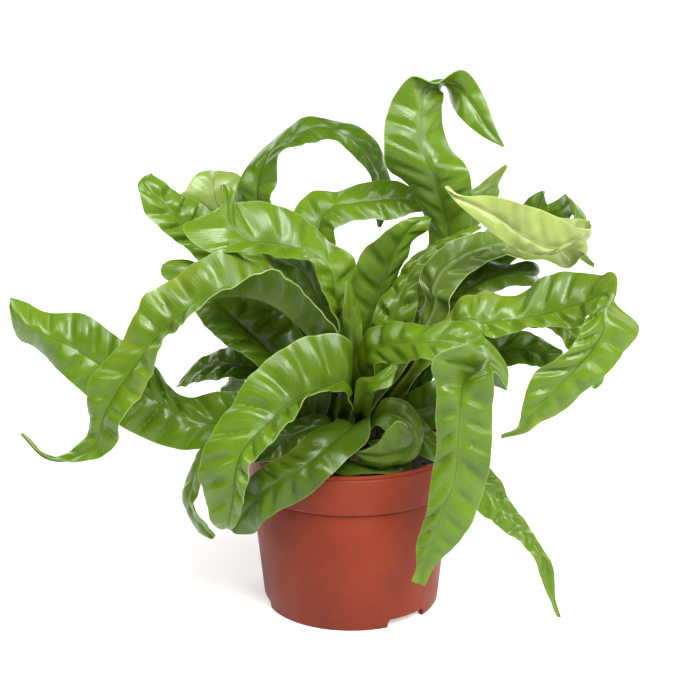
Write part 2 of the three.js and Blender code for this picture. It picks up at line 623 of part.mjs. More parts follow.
const rightFronds = [
  {
    name: "frond_yellow_fold",
    foot: { turn: -42, out: 8.5, lean: 4 },
    phase: 0.3,
    material: frondYellowGreen,
    spread: 0,
    rows: [
      [[48, 165, 6], [54, 161, 10], [43, 168, 2]],
      [[50, 184, 6], [61, 179, 10], [40, 189, 2]],
      [[59, 197, 4], [71, 193, 9], [49, 203, 0]],
      [[77, 206, 0], [85, 200, 6], [71, 216, -8]],
      [[97, 210, -8], [101, 203, 2], [93, 222, -17]],
      [[116, 210, -10], [118, 199, -1], [115, 226, -19]],
      [[131, 208, -8], [130, 195, 0], [135, 226, -18]],
      [[141, 211, 0], [137, 204, 4], [145, 223, -8]],
      [[141, 213, 9], [137, 206, 9], [145, 219, 6]],
      [[131, 211, 17], [127, 206, 15], [134, 221, 16]],
      [[119, 207, 21], [119, 204, 16], [122, 227, 22]],
      [[104, 214, 24], [105, 205, 22], [109, 232, 24]],
      [[89, 225, 26], [90, 213, 26], [94, 237, 26]],
      [[76, 232, 26], [76, 224, 26], [80, 239, 26]],
      [[63, 238, 25], [64, 234, 26], [65, 239, 26]],
      [[57, 244, 26], [57, 243, 26], [56, 244, 27]],
    ],
  },
  {
    name: "frond_dark_curl_right",
    foot: { turn: 8, out: 16, lean: 8 },
    phase: 1.3,
    material: frondDark,
    spread: 0,
    rows: [
      [[53, 169, -2], [50, 176, -8], [60, 165, 3]],
      [[67, 181, -2], [62, 190, -9], [73, 175, 5]],
      [[82, 190, -4], [80, 198, -14], [85, 182, 5]],
      [[97, 192, -4], [97, 199, -15], [97, 184, 5]],
      [[107, 192, -6], [107, 200, -14], [106, 184, 3]],
      [[112, 191, -12], [112, 196, -16], [112, 186, -8]],
      [[111, 190, -18], [111, 191, -18], [111, 189, -18]],
    ],
  },
  {
    name: "frond_right_hanging",
    foot: { turn: -20, out: 16, lean: 12 },
    phase: 2.2,
    spread: 0,
    rows: [
      [[62, 160, 24], [58, 169, 17], [65, 154, 29]],
      [[80, 163, 21], [76, 179, 9], [82, 155, 29]],
      [[98, 165, 21], [97, 180, 9], [100, 157, 30]],
      [[116, 168, 21], [115, 189, 9], [117, 160, 32]],
      [[133, 173, 22], [131, 193, 8], [135, 161, 33]],
      [[148, 179, 27], [149, 193, 11], [142, 163, 38]],
      [[154, 178, 35], [159, 190, 22], [143, 167, 45]],
      [[152, 169, 41], [157, 175, 33], [141, 163, 48]],
      [[152, 161, 45], [173, 161, 37], [138, 158, 51]],
      [[148, 151, 48], [168, 149, 42], [134, 152, 53]],
      [[139, 139, 51], [156, 136, 47], [123, 141, 55]],
      [[127, 127, 54], [143, 124, 50], [109, 131, 56]],
      [[117, 117, 56], [128, 110, 53], [103, 117, 57]],
      [[107, 106, 57], [113, 103, 55], [101, 105, 57]],
      [[101, 98, 57], [104, 97, 56], [99, 99, 58]],
      [[90, 94, 56], [90, 93, 56], [90, 95, 56]],
    ],
  },
  {
    name: "frond_low_right",
    foot: { turn: 2, out: 23, lean: 24 },
    phase: 0.7,
    rows: [
      [[50, 143, -8], [49, 151, -15], [52, 135, -1]],
      [[71, 146, -8], [70, 156, -16], [73, 137, 0]],
      [[89, 146, -8], [89, 158, -16], [91, 136, 2]],
      [[104, 147, -8], [104, 157, -16], [107, 137, 2]],
      [[117, 145, -6], [117, 151, -14], [117, 137, 4]],
      [[127, 145, -5], [127, 146, -6], [127, 144, -4]],
    ],
  },
  {
    name: "frond_dark_behind_right",
    foot: { turn: 20, out: 23, lean: 22 },
    phase: 1.9,
    material: frondDark,
    rows: [
      [[60, 152, -26], [58, 160, -32], [62, 144, -20]],
      [[95, 168, -24], [95, 176, -32], [95, 160, -16]],
      [[120, 166, -18], [124, 174, -26], [118, 158, -10]],
      [[134, 155, -10], [140, 161, -17], [129, 149, -3]],
      [[143, 142, -4], [149, 145, -9], [137, 138, 2]],
      [[148, 131, -2], [152, 130, -6], [143, 127, 2]],
      [[146, 123, -1], [147, 123, -1], [145, 123, -1]],
    ],
  },
  {
    name: "frond_spike_behind_yellow",
    foot: { turn: 36, out: 16, lean: 14 },
    phase: 2.8,
    material: frondDark,
    rows: [
      [[60, 190, -40], [54, 193, -46], [67, 188, -34]],
      [[92, 214, -46], [85, 220, -52], [100, 210, -40]],
      [[109, 228, -48], [100, 232, -54], [118, 228, -42]],
      [[113, 236, -50], [107, 238, -53], [117, 236, -46]],
      [[115, 242, -52], [114, 242, -52], [115, 242, -52]],
    ],
  },
  {
    name: "frond_far_right_point",
    foot: { turn: 38, out: 23, lean: 20 },
    phase: 0.1,
    material: frondDark,
    rows: [
      [[76, 190, -56], [72, 196, -62], [82, 185, -50]],
      [[110, 219, -58], [106, 226, -64], [116, 213, -52]],
      [[126, 230, -54], [122, 236, -61], [130, 224, -48]],
      [[132, 234, -48], [129, 240, -57], [134, 227, -42]],
      [[136, 224, -42], [139, 228, -50], [131, 222, -37]],
      [[137, 212, -40], [141, 213, -45], [133, 212, -36]],
      [[139, 203, -40], [141, 205, -42], [136, 202, -38]],
      [[146, 197, -40], [146, 198, -40], [146, 196, -40]],
    ],
  },
  {
    name: "frond_lower_right_trail",
    foot: { turn: -40, out: 23, lean: 24 },
    phase: 1.5,
    rows: [
      [[33, 102, 31], [35, 107, 27], [30, 95, 35]],
      [[47, 92, 32], [50, 98, 26], [43, 82, 37]],
      [[63, 80, 34], [67, 88, 27], [60, 72, 41]],
      [[82, 62, 34], [89, 70, 27], [76, 49, 38]],
      [[94, 48, 36], [97, 51, 31], [87, 42, 40]],
      [[106, 36, 39], [109, 38, 35], [100, 32, 43]],
      [[116, 19, 42], [119, 20, 40], [111, 17, 46]],
      [[120, 1, 44], [122, 1, 43], [118, 0, 46]],
      [[125, -14, 46], [126, -14, 46], [124, -14, 46]],
    ],
  },
];

const frontFronds = [
  {
    name: "frond_front_hanging",
    foot: { turn: -54, out: 16, lean: 8 },
    phase: 0.6,
    spread: 0,
    rows: [
      [[9, 140, 26], [4, 149, 18], [15, 134, 34]],
      [[21, 149, 36], [20, 161, 24], [25, 138, 46]],
      [[35, 151, 46], [35, 163, 34], [36, 140, 56]],
      [[48, 151, 54], [51, 162, 42], [47, 139, 63]],
      [[62, 151, 58], [67, 162, 48], [59, 139, 66]],
      [[75, 146, 61], [80, 156, 52], [69, 139, 70]],
      [[80, 140, 64], [90, 144, 56], [74, 147, 76]],
      [[77, 134, 68], [95, 133, 60], [68, 151, 85]],
      [[71, 130, 73], [92, 122, 66], [54, 145, 91]],
      [[67, 125, 79], [84, 133, 80], [49, 137, 91]],
      [[66, 115, 83], [86, 119, 80], [51, 126, 87]],
      [[65, 104, 84], [85, 104, 79], [50, 109, 83]],
      [[64, 89, 84], [84, 87, 79], [51, 87, 81]],
      [[62, 68, 83], [80, 62, 79], [47, 63, 80]],
      [[55, 50, 82], [72, 43, 78], [44, 45, 80]],
      [[48, 29, 81], [60, 26, 78], [39, 29, 80]],
      [[43, 14, 80], [50, 17, 79], [39, 16, 80]],
      [[41, 6, 80], [44, 5, 79], [36, 8, 81]],
    ],
  },
  {
    name: "frond_left_hanging",
    foot: { turn: -116, out: 16, lean: 10 },
    phase: 1.4,
    rows: [
      [[-2, 126, 37], [0, 119, 43], [-1, 143, 27]],
      [[-14, 125, 46], [-14, 121, 58], [-10, 156, 34]],
      [[-28, 120, 55], [-27, 118, 69], [-29, 154, 42]],
      [[-40, 113, 63], [-32, 110, 77], [-49, 140, 50]],
      [[-50, 103, 70], [-38, 100, 83], [-67, 122, 58]],
      [[-59, 94, 75], [-50, 88, 87], [-80, 104, 64]],
      [[-67, 82, 78], [-61, 79, 88], [-87, 86, 68]],
      [[-70, 70, 79], [-62, 67, 87], [-91, 73, 70]],
      [[-71, 58, 78], [-64, 55, 85], [-89, 59, 70]],
      [[-73, 47, 76], [-67, 47, 81], [-85, 47, 70]],
      [[-74, 41, 72], [-70, 40, 75], [-80, 41, 68]],
      [[-75, 39, 66], [-74, 39, 67], [-76, 39, 66]],
    ],
  },
  {
    name: "frond_dark_over_rim",
    foot: { turn: -98, out: 23, lean: 16 },
    phase: 2.5,
    material: frondDark,
    rows: [
      [[2, 101, 34], [9, 103, 37], [-7, 106, 30]],
      [[-4, 97, 46], [11, 95, 49], [-13, 102, 41]],
      [[-14, 89, 57], [2, 85, 61], [-27, 93, 51]],
      [[-24, 80, 64], [-11, 71, 68], [-37, 86, 57]],
      [[-37, 72, 67], [-29, 57, 70], [-45, 81, 59]],
      [[-49, 64, 65], [-43, 50, 68], [-53, 76, 58]],
      [[-59, 55, 61], [-52, 43, 66], [-66, 65, 55]],
      [[-67, 46, 56], [-59, 36, 60], [-73, 54, 51]],
      [[-72, 38, 53], [-69, 36, 55], [-74, 40, 51]],
    ],
  },
  {
    name: "frond_narrow_curl_left",
    foot: { turn: 204, out: 23, lean: 24 },
    phase: 0.9,
    rows: [
      [[-50, 92, 34], [-48, 87, 40], [-53, 97, 27]],
      [[-76, 91, 40], [-75, 84, 47], [-78, 97, 31]],
      [[-89, 83, 44], [-87, 76, 51], [-93, 86, 36]],
      [[-94, 71, 46], [-91, 68, 53], [-97, 73, 38]],
      [[-97, 60, 47], [-94, 58, 54], [-99, 61, 40]],
      [[-95, 49, 50], [-93, 51, 56], [-99, 49, 43]],
      [[-89, 41, 54], [-87, 43, 60], [-93, 38, 48]],
      [[-83, 34, 58], [-83, 35, 59], [-84, 33, 58]],
    ],
  },
  {
    name: "frond_front_curl",
    foot: { turn: -78, out: 23, lean: 12 },
    phase: 0.2,
    rows: [
      [[17, 107, 31], [17, 114, 27], [15, 100, 36]],
      [[27, 107, 36], [31, 115, 30], [21, 98, 42]],
      [[36, 100, 42], [41, 107, 35], [27, 96, 48]],
      [[38, 92, 45], [45, 96, 40], [30, 96, 53]],
      [[35, 88, 48], [42, 86, 43], [32, 102, 57]],
      [[29, 85, 50], [34, 80, 46], [27, 104, 58]],
      [[23, 83, 51], [25, 78, 47], [21, 98, 57]],
      [[16, 82, 51], [17, 77, 48], [17, 91, 55]],
      [[9, 83, 50], [8, 79, 48], [10, 87, 52]],
      [[2, 85, 50], [2, 84, 49], [2, 85, 51]],
    ],
  },
  {
    name: "frond_short_curl",
    foot: { turn: -76, out: 17, lean: 6 },
    phase: 0.4,
    rows: [
      [[7, 115, 38], [3, 116, 37], [11, 112, 40]],
      [[8, 124, 46], [3, 128, 43], [13, 120, 50]],
      [[15, 127, 53], [14, 131, 48], [17, 122, 57]],
      [[22, 131, 53], [21, 135, 49], [24, 125, 57]],
      [[27, 137, 49], [26, 138, 48], [27, 136, 50]],
    ],
  },
  {
    name: "frond_low_left",
    foot: { turn: -118, out: 23, lean: 22 },
    phase: 1.0,
    material: frondDark,
    rows: [
      [[-13, 101, 33], [-10, 94, 38], [-17, 106, 31]],
      [[-29, 98, 41], [-25, 88, 47], [-33, 106, 36]],
      [[-44, 90, 46], [-41, 80, 52], [-47, 97, 43]],
      [[-52, 84, 50], [-51, 79, 53], [-54, 87, 48]],
      [[-58, 80, 52], [-58, 79, 53], [-58, 81, 52]],
    ],
  },
  {
    name: "frond_along_rim",
    foot: { turn: -58, out: 23, lean: 22 },
    phase: 1.7,
    material: frondDark,
    rows: [
      [[19, 93, 42], [24, 96, 39], [14, 89, 45]],
      [[31, 85, 44], [35, 88, 41], [27, 80, 48]],
      [[32, 78, 43], [35, 75, 42], [28, 82, 37]],
      [[23, 74, 46], [25, 71, 49], [21, 80, 39]],
      [[9, 74, 48], [9, 71, 52], [9, 80, 41]],
      [[-5, 75, 47], [-6, 72, 51], [-4, 80, 41]],
      [[-16, 77, 43], [-16, 76, 44], [-16, 78, 42]],
    ],
  },
  {
    name: "frond_inner_right",
    foot: { turn: -19, out: 23, lean: 24 },
    phase: 0.6,
    material: frondDark,
    rows: [
      [[33, 108, 16], [31, 116, 12], [36, 98, 21]],
      [[45, 112, 17], [42, 124, 12], [49, 99, 23]],
      [[58, 118, 18], [55, 130, 12], [62, 106, 24]],
      [[70, 123, 19], [69, 129, 15], [73, 115, 23]],
      [[80, 124, 19], [80, 125, 19], [80, 123, 19]],
    ],
  },
  {
    name: "frond_furled_centre",
    foot: { turn: 0, out: 0, lean: 0 },
    phase: 0,
    rows: [
      [[1, 150, 12], [-3, 150, 14], [5, 150, 10]],
      [[0, 167, 14], [-6, 167, 18], [5, 168, 9]],
      [[-1, 178, 14], [-5, 178, 17], [3, 179, 9]],
      [[-2, 188, 13], [-3, 188, 13], [-1, 188, 13]],
    ],
  },
];

// The fronds of the far side all arch outwards in one way, each with its own turn,
// reach, height and twist.
const REAR_SECTIONS = 6;
const REAR_HALF_WIDTH = 17;
const REAR_FOLD = 0.25;
const REAR_START = 18;
const REAR_REACH_EASE = 0.9;
const REAR_RISE_TURN = 2.1;
const REAR_DROP_EASE = 3;
const REAR_TWIST_TURN = 5;
const REAR_BELLY = 1.2;
const REAR_FULLNESS = 0.8;

function rearFrond({ name, turn, aim, out, reach, rise, drop, twist, phase }) {
  const rows = [];
  const outward = around(aim, 1, 0);
  const side = around(aim - 90, 1, 0);
  const start = around(turn, out, CROWN_TOP + REAR_START);
  for (let section = 1; section <= REAR_SECTIONS; section += 1) {
    const share = section / REAR_SECTIONS;
    const rib = start.clone().addScaledVector(outward, reach * share ** REAR_REACH_EASE);
    rib.z += rise * Math.sin(REAR_RISE_TURN * share) - drop * share ** REAR_DROP_EASE;
    const roll = twist * Math.sin(REAR_TWIST_TURN * share + phase);
    const fullness = Math.sin(Math.PI * share ** REAR_BELLY) ** REAR_FULLNESS;
    const half = Math.max(1, REAR_HALF_WIDTH * fullness);
    const across = side.clone().multiplyScalar(Math.cos(roll));
    across.z = Math.sin(roll);
    const lift = new THREE.Vector3(0, 0, REAR_FOLD * half);
    const left = rib.clone().addScaledVector(across, -half).add(lift);
    const right = rib.clone().addScaledVector(across, half).add(lift);
    rows.push([rib, left, right]);
  }
  return { name, foot: { turn, out, lean: out }, phase, spread: 0, rows };
}

const rearFronds = [
  rearFrond({
    name: "frond_rear_right",
    turn: 60, aim: 54, out: 23, reach: 92, rise: 28, drop: 70, twist: 0.3, phase: 0.4,
  }),
  rearFrond({
    name: "frond_rear_right_inner",
    turn: 78, aim: 78, out: 23, reach: 106, rise: 58, drop: 60, twist: -0.35, phase: 1.2,
  }),
  rearFrond({
    name: "frond_rear_left_inner",
    turn: 96, aim: 96, out: 23, reach: 118, rise: 34, drop: 90, twist: 0.3, phase: 2.1,
  }),
  rearFrond({
    name: "frond_rear_left",
    turn: 132, aim: 134, out: 23, reach: 96, rise: 22, drop: 62, twist: -0.35, phase: 0.8,
  }),
];

const fronds = [...leftFronds, ...topFronds, ...rightFronds, ...frontFronds, ...rearFronds];

const plant = new THREE.Group();

function place(name, geometry, material) {
  const mesh = new THREE.Mesh(geometry, material);
  mesh.name = name;
  plant.add(mesh);
}

place("pot", toGeometry(makePot()), potPlastic);
place("soil", toGeometry(makeSoil()), soilMix);
place("crown", toGeometry(makeCrown(fronds)), crownFibre);
for (const frond of fronds) {
  place(frond.name, makeFrond(frond), frond.material ?? frondGreen);
}

export default plant;
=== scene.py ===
# A potted fern of the bird's-nest kind, in metres, +Z up, the front facing -Y.
# It is laid out as a Blender add-on and run as a script.

import math
import random

import bpy
from bpy.props import FloatProperty, FloatVectorProperty, IntProperty, PointerProperty
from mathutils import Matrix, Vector, noise


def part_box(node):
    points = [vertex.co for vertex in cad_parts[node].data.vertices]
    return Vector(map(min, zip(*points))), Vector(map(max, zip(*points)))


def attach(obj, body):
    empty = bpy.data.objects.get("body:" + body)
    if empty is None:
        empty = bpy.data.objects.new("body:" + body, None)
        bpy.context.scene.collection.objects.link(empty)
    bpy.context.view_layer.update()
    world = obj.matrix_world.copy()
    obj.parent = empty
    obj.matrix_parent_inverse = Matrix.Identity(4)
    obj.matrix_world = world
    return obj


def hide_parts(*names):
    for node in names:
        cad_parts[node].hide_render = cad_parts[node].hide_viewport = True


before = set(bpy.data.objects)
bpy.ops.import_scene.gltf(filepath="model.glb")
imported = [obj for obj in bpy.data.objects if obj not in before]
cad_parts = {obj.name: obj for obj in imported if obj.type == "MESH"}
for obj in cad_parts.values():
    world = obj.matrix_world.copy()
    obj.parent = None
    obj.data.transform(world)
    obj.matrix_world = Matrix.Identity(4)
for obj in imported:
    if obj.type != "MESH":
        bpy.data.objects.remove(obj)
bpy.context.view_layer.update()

POT_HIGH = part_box("pot")[1]

bl_info = {
    "name": "Potted fern",
    "version": (1, 0, 0),
    "blender": (4, 5, 0),
    "location": "View3D > Sidebar > Plant",
    "description": "Builds a potted fern with waved fronds, piece by piece",
    "category": "Add Mesh",
}

MM = 0.001
SEED = 41

# The pot, in millimetres
BAND_HEIGHT = 23
BAND_STEP = 1.6
FLOOR_HEIGHT = 8
HUB_RADIUS = 6
FOOT_GAP_HEIGHT = 5
FOOT_GAP_TURNS = (-51, 69, 189)
FOOT_GAP_ANGLE = 30
DRAIN_RADIUS = 4
DRAIN_RING = 34
DRAIN_COUNT = 6
DRAIN_SIDES = 32
POT_SIDES = 160
# The top edge's inner round, as how far out from the inner wall and how far down
LIP_ROUND_OUT = 0.4
LIP_ROUND_DOWN = 0.5
# The band's outline, each as how far in from the rim and how far below the top
LIP_OUTLINE = ((0.7, 0), (0.2, 0.3), (0, 0.9), (0, 1.4), (0.5, 1.8), (0.5, 2.4), (0, 2.9))
# Its lower edge, each as how far in from the rim and how far above the band's foot
BAND_OUTLINE = ((0, 1.2), (0.3, 0.4), (0.8, 0))
# The step below it, each as how far in from the body and how far above the band's foot
STEP_OUTLINE = ((0.3, 0.3), (0.5, -0.3))
STEP_EASE = 1.4
FOOT_ROUND = 0.5
FOOT_EASE = 1
FOOT_INNER_LIFT = 0.6
HUB_TAPER = 1
HUB_ROUND = 0.5
FOOT_GAP_MARGIN = 6
FOOT_GAP_ROUND = 2.2

# What fills the pot, in millimetres
CLEARANCE = 0.3
SOIL_TOP = 84
CROWN_RADIUS = 28
CROWN_BOTTOM = 72
CROWN_EDGE = 93
CROWN_TOP = 101
SOIL_RADIUS = 55
SOIL_RINGS = (53, 50, 46, 42, 38, 34, 30, 26, 22, 18, 14, 10, 6, 2)
SOIL_DOME = 3
SOIL_ROUGHNESS = 1.4
SOIL_SIDES = 90
CRUMB_REACH = 54
CRUMB_SIZE = 2.2
CRUMB_FLATNESS = 0.6
CRUMB_DOME = 1.2
CROWN_FOOT = ((10, CROWN_BOTTOM), (26, CROWN_BOTTOM), (28, 75))
CROWN_RINGS = (28, 26, 22, 18, 14, 10, 6, 2)
CROWN_ROUGH_FROM = 80
CROWN_ROUGHNESS = 1.6
CROWN_SIDES = 72
FIBRE_REACH = 27
FIBRE_LENGTH = (4, 9)
FIBRE_WIDTH = (0.5, 1.1)
# How many degrees a fibre leans out, and how far it turns aside
FIBRE_LEAN = (20, 60)
FIBRE_TURN = 30

# A frond, in millimetres
MIDRIB_THICKNESS = 1.7
STALK_HALF_WIDTH = 2.1
STALK_THICKNESS = 2.6
STALK_DEPTH = 9
STALK_RISE = 3
STALK_PULL = 0.8
STALK_STEPS = 5
# The midrib's, left edge's and right edge's places across a stalk
RAIL_SIDES = (0, -1, 1)
BLADE_START = 14
WAVE_LENGTH = 40
BLADE_ARCH = 0.07
BASE_SPREAD = 0.45
EDGE_LAG = 2.4
LEAF_COLUMNS = 24
ROW_STEP = 1.5

# The view that the fronds are placed by, in millimetres
VIEW_DISTANCE = 900
VIEW_HEIGHT = 412
VIEW_TILT = math.radians(16.2)
VIEW_RANGE = 990
VIEW_CENTRE = 146.4


def seen(point):
    """The place of a point that the front view shows so far across and up, and so near."""
    across, up, near = point
    rise = up - VIEW_CENTRE
    ray = Vector((
        across,
        VIEW_RANGE * math.cos(VIEW_TILT) + rise * math.sin(VIEW_TILT),
        rise * math.cos(VIEW_TILT) - VIEW_RANGE * math.sin(VIEW_TILT),
    ))
    reach = (VIEW_DISTANCE - near) / ray.y
    return Vector((0, -VIEW_DISTANCE, VIEW_HEIGHT)) + ray * reach


def around(turn, out, height):
    """A point so far out from the pot's axis, at a turn in degrees."""
    angle = math.radians(turn)
    return Vector((out * math.cos(angle), out * math.sin(angle), height))


def leaf(name, foot, phase, finish, rows, spread=BASE_SPREAD):
    """A frond's name, its foot on the crown, its wave's start, its finish and its sections."""
    placed = [[p if isinstance(p, Vector) else seen(p) for p in row] for row in rows]
    return {"name": name, "foot": foot, "phase": phase, "finish": finish, "rows": placed,
            "spread": spread}


# Each section of a frond lists its midrib, its left edge and its right edge, in
# millimetres across, up and near, from the stalk to the tip.
LEFT_LEAVES = (
    leaf("far_left", (186, 23, 30), 0.4, "green", (
        ((-32, 103, 5), (-30, 96, 10), (-33, 112, -2)),
        ((-53, 102, 6), (-54, 88, 17), (-53, 120, -3)),
        ((-76, 102, 12), (-78, 88, 23), (-77, 121, 3)),
        ((-97, 104, 14), (-101, 86, 20), (-101, 119, 3)),
        ((-114, 114, 15), (-121, 92, 20), (-117, 136, 6)),
        ((-132, 126, 14), (-140, 102, 18), (-128, 146, 5)),
        ((-152, 139, 12), (-158, 118, 16), (-141, 155, 4)),
        ((-169, 149, 10), (-171, 130, 12), (-160, 168, 2)),
        ((-187, 157, 7), (-189, 147, -2), (-181, 169, -4)),
        ((-199, 165, 2), (-200, 154, -6), (-194, 175, -8)),
        ((-205, 175, -4), (-205, 172, -5), (-204, 178, -6)),
    )),
    leaf("left_arch", (222, 23, 26), 2.1, "green", (
        ((-20, 144, 24), (-10, 148, 34), (-24, 150, 14)),
        ((-34, 165, 28), (-23, 177, 38), (-32, 178, 12)),
        ((-49, 176, 31), (-41, 189, 44), (-45, 194, 15)),
        ((-66, 180, 34), (-60, 192, 50), (-61, 200, 18)),
        ((-84, 178, 38), (-78, 181, 56), (-82, 204, 26)),
        ((-101, 169, 42), (-96, 166, 60), (-105, 192, 30)),
        ((-117, 154, 46), (-109, 157, 63), (-124, 175, 36)),
        ((-129, 138, 49), (-116, 140, 64), (-140, 150, 40)),
        ((-141, 121, 51), (-126, 121, 63), (-154, 131, 44)),
        ((-149, 106, 52), (-136, 105, 63), (-159, 111, 47)),
        ((-153, 91, 52), (-143, 88, 61), (-158, 96, 46)),
        ((-167, 82, 50), (-162, 79, 57), (-170, 84, 44)),
        ((-183, 83, 46), (-181, 81, 50), (-184, 85, 42)),
        ((-197, 97, 40), (-197, 96, 42), (-198, 97, 38)),
    )),
    leaf("upper_left_arch", (200, 8.5, 8), 1.2, "green", (
        ((-7, 149, 8), (-8, 147, 18), (-2, 152, -5)),
        ((-9, 176, 6), (-14, 174, 18), (1, 182, -9)),
        ((-13, 196, 4), (-19, 190, 18), (0, 199, -12)),
        ((-26, 206, 5), (-29, 199, 20), (-14, 215, -12)),
        ((-41, 210, 7), (-44, 203, 22), (-31, 226, -9)),
        ((-53, 211, 10), (-56, 205, 23), (-50, 234, -5)),
        ((-62, 212, 13), (-70, 204, 25), (-66, 235, -2)),
        ((-69, 217, 14), (-86, 205, 24), (-69, 236, 1)),
        ((-73, 225, 14), (-98, 214, 22), (-70, 239, 5)),
        ((-74, 232, 13), (-99, 223, 20), (-71, 241, 7)),
        ((-75, 239, 12), (-80, 228, 15), (-72, 244, 9)),
        ((-77, 246, 10), (-77, 245, 11), (-76, 246, 10)),
    )),
    leaf("mid_left", (176, 15.5, 16), 3.3, "green", (
        ((-24, 122, -2), (-34, 116, 4), (-12, 132, -6)),
        ((-40, 138, -2), (-52, 132, 8), (-24, 146, -8)),
        ((-52, 149, 0), (-64, 143, 12), (-30, 158, -8)),
        ((-66, 162, 3), (-78, 152, 14), (-44, 170, -8)),
        ((-78, 173, 4), (-88, 160, 12), (-64, 180, -8)),
        ((-88, 182, 2), (-95, 172, 6), (-79, 187, -6)),
        ((-96, 190, -4), (-97, 188, -3), (-94, 191, -6)),
    )),
    leaf("upper_left", (150, 15.5, 14), 0.9, "green", (
        ((-38, 160, -22), (-46, 156, -18), (-30, 166, -28)),
        ((-66, 188, -30), (-74, 182, -24), (-60, 198, -36)),
        ((-89, 211, -32), (-97, 206, -24), (-82, 224, -38)),
        ((-102, 224, -30), (-112, 216, -22), (-92, 236, -38)),
        ((-112, 234, -28), (-123, 228, -21), (-103, 240, -38)),
        ((-121, 243, -28), (-127, 241, -24), (-112, 246, -36)),
        ((-125, 248, -31), (-128, 246, -30), (-119, 251, -36)),
        ((-120, 253, -39), (-121, 252, -39), (-119, 253, -40)),
    ), spread=0),
    leaf("pale_curl", (114, 23, 14), 2.7, "pale", (
        ((-32, 172, -52), (-40, 170, -48), (-26, 178, -58)),
        ((-56, 208, -60), (-66, 204, -54), (-50, 216, -68)),
        ((-73, 225, -56), (-86, 218, -50), (-62, 236, -64)),
        ((-80, 233, -52), (-102, 236, -46), (-64, 243, -60)),
        ((-82, 242, -52), (-99, 243, -47), (-65, 248, -62)),
        ((-82, 250, -57), (-94, 251, -53), (-70, 252, -64)),
        ((-82, 254, -64), (-84, 254, -63), (-80, 254, -65)),
    )),
    leaf("small_dark_left", (150, 23, 26), 1.8, "green", (
        ((-44, 153, -27), (-46, 148, -22), (-42, 160, -32)),
        ((-70, 176, -28), (-72, 169, -20), (-67, 184, -36)),
        ((-94, 190, -26), (-97, 182, -18), (-92, 198, -34)),
        ((-108, 195, -24), (-110, 188, -17), (-107, 200, -31)),
        ((-114, 194, -21), (-114, 191, -18), (-114, 197, -24)),
    ), spread=0),
    leaf("left_curl", (168, 23, 20), 0.2, "green", (
        ((-38, 129, -9), (-42, 123, -3), (-34, 137, -15)),
        ((-60, 136, -13), (-64, 130, -6), (-54, 142, -19)),
        ((-78, 138, -18), (-84, 127, -8), (-73, 149, -28)),
        ((-92, 134, -18), (-98, 126, -10), (-87, 143, -26)),
        ((-104, 126, -20), (-105, 124, -18), (-103, 127, -22)),
    ), spread=0),
)

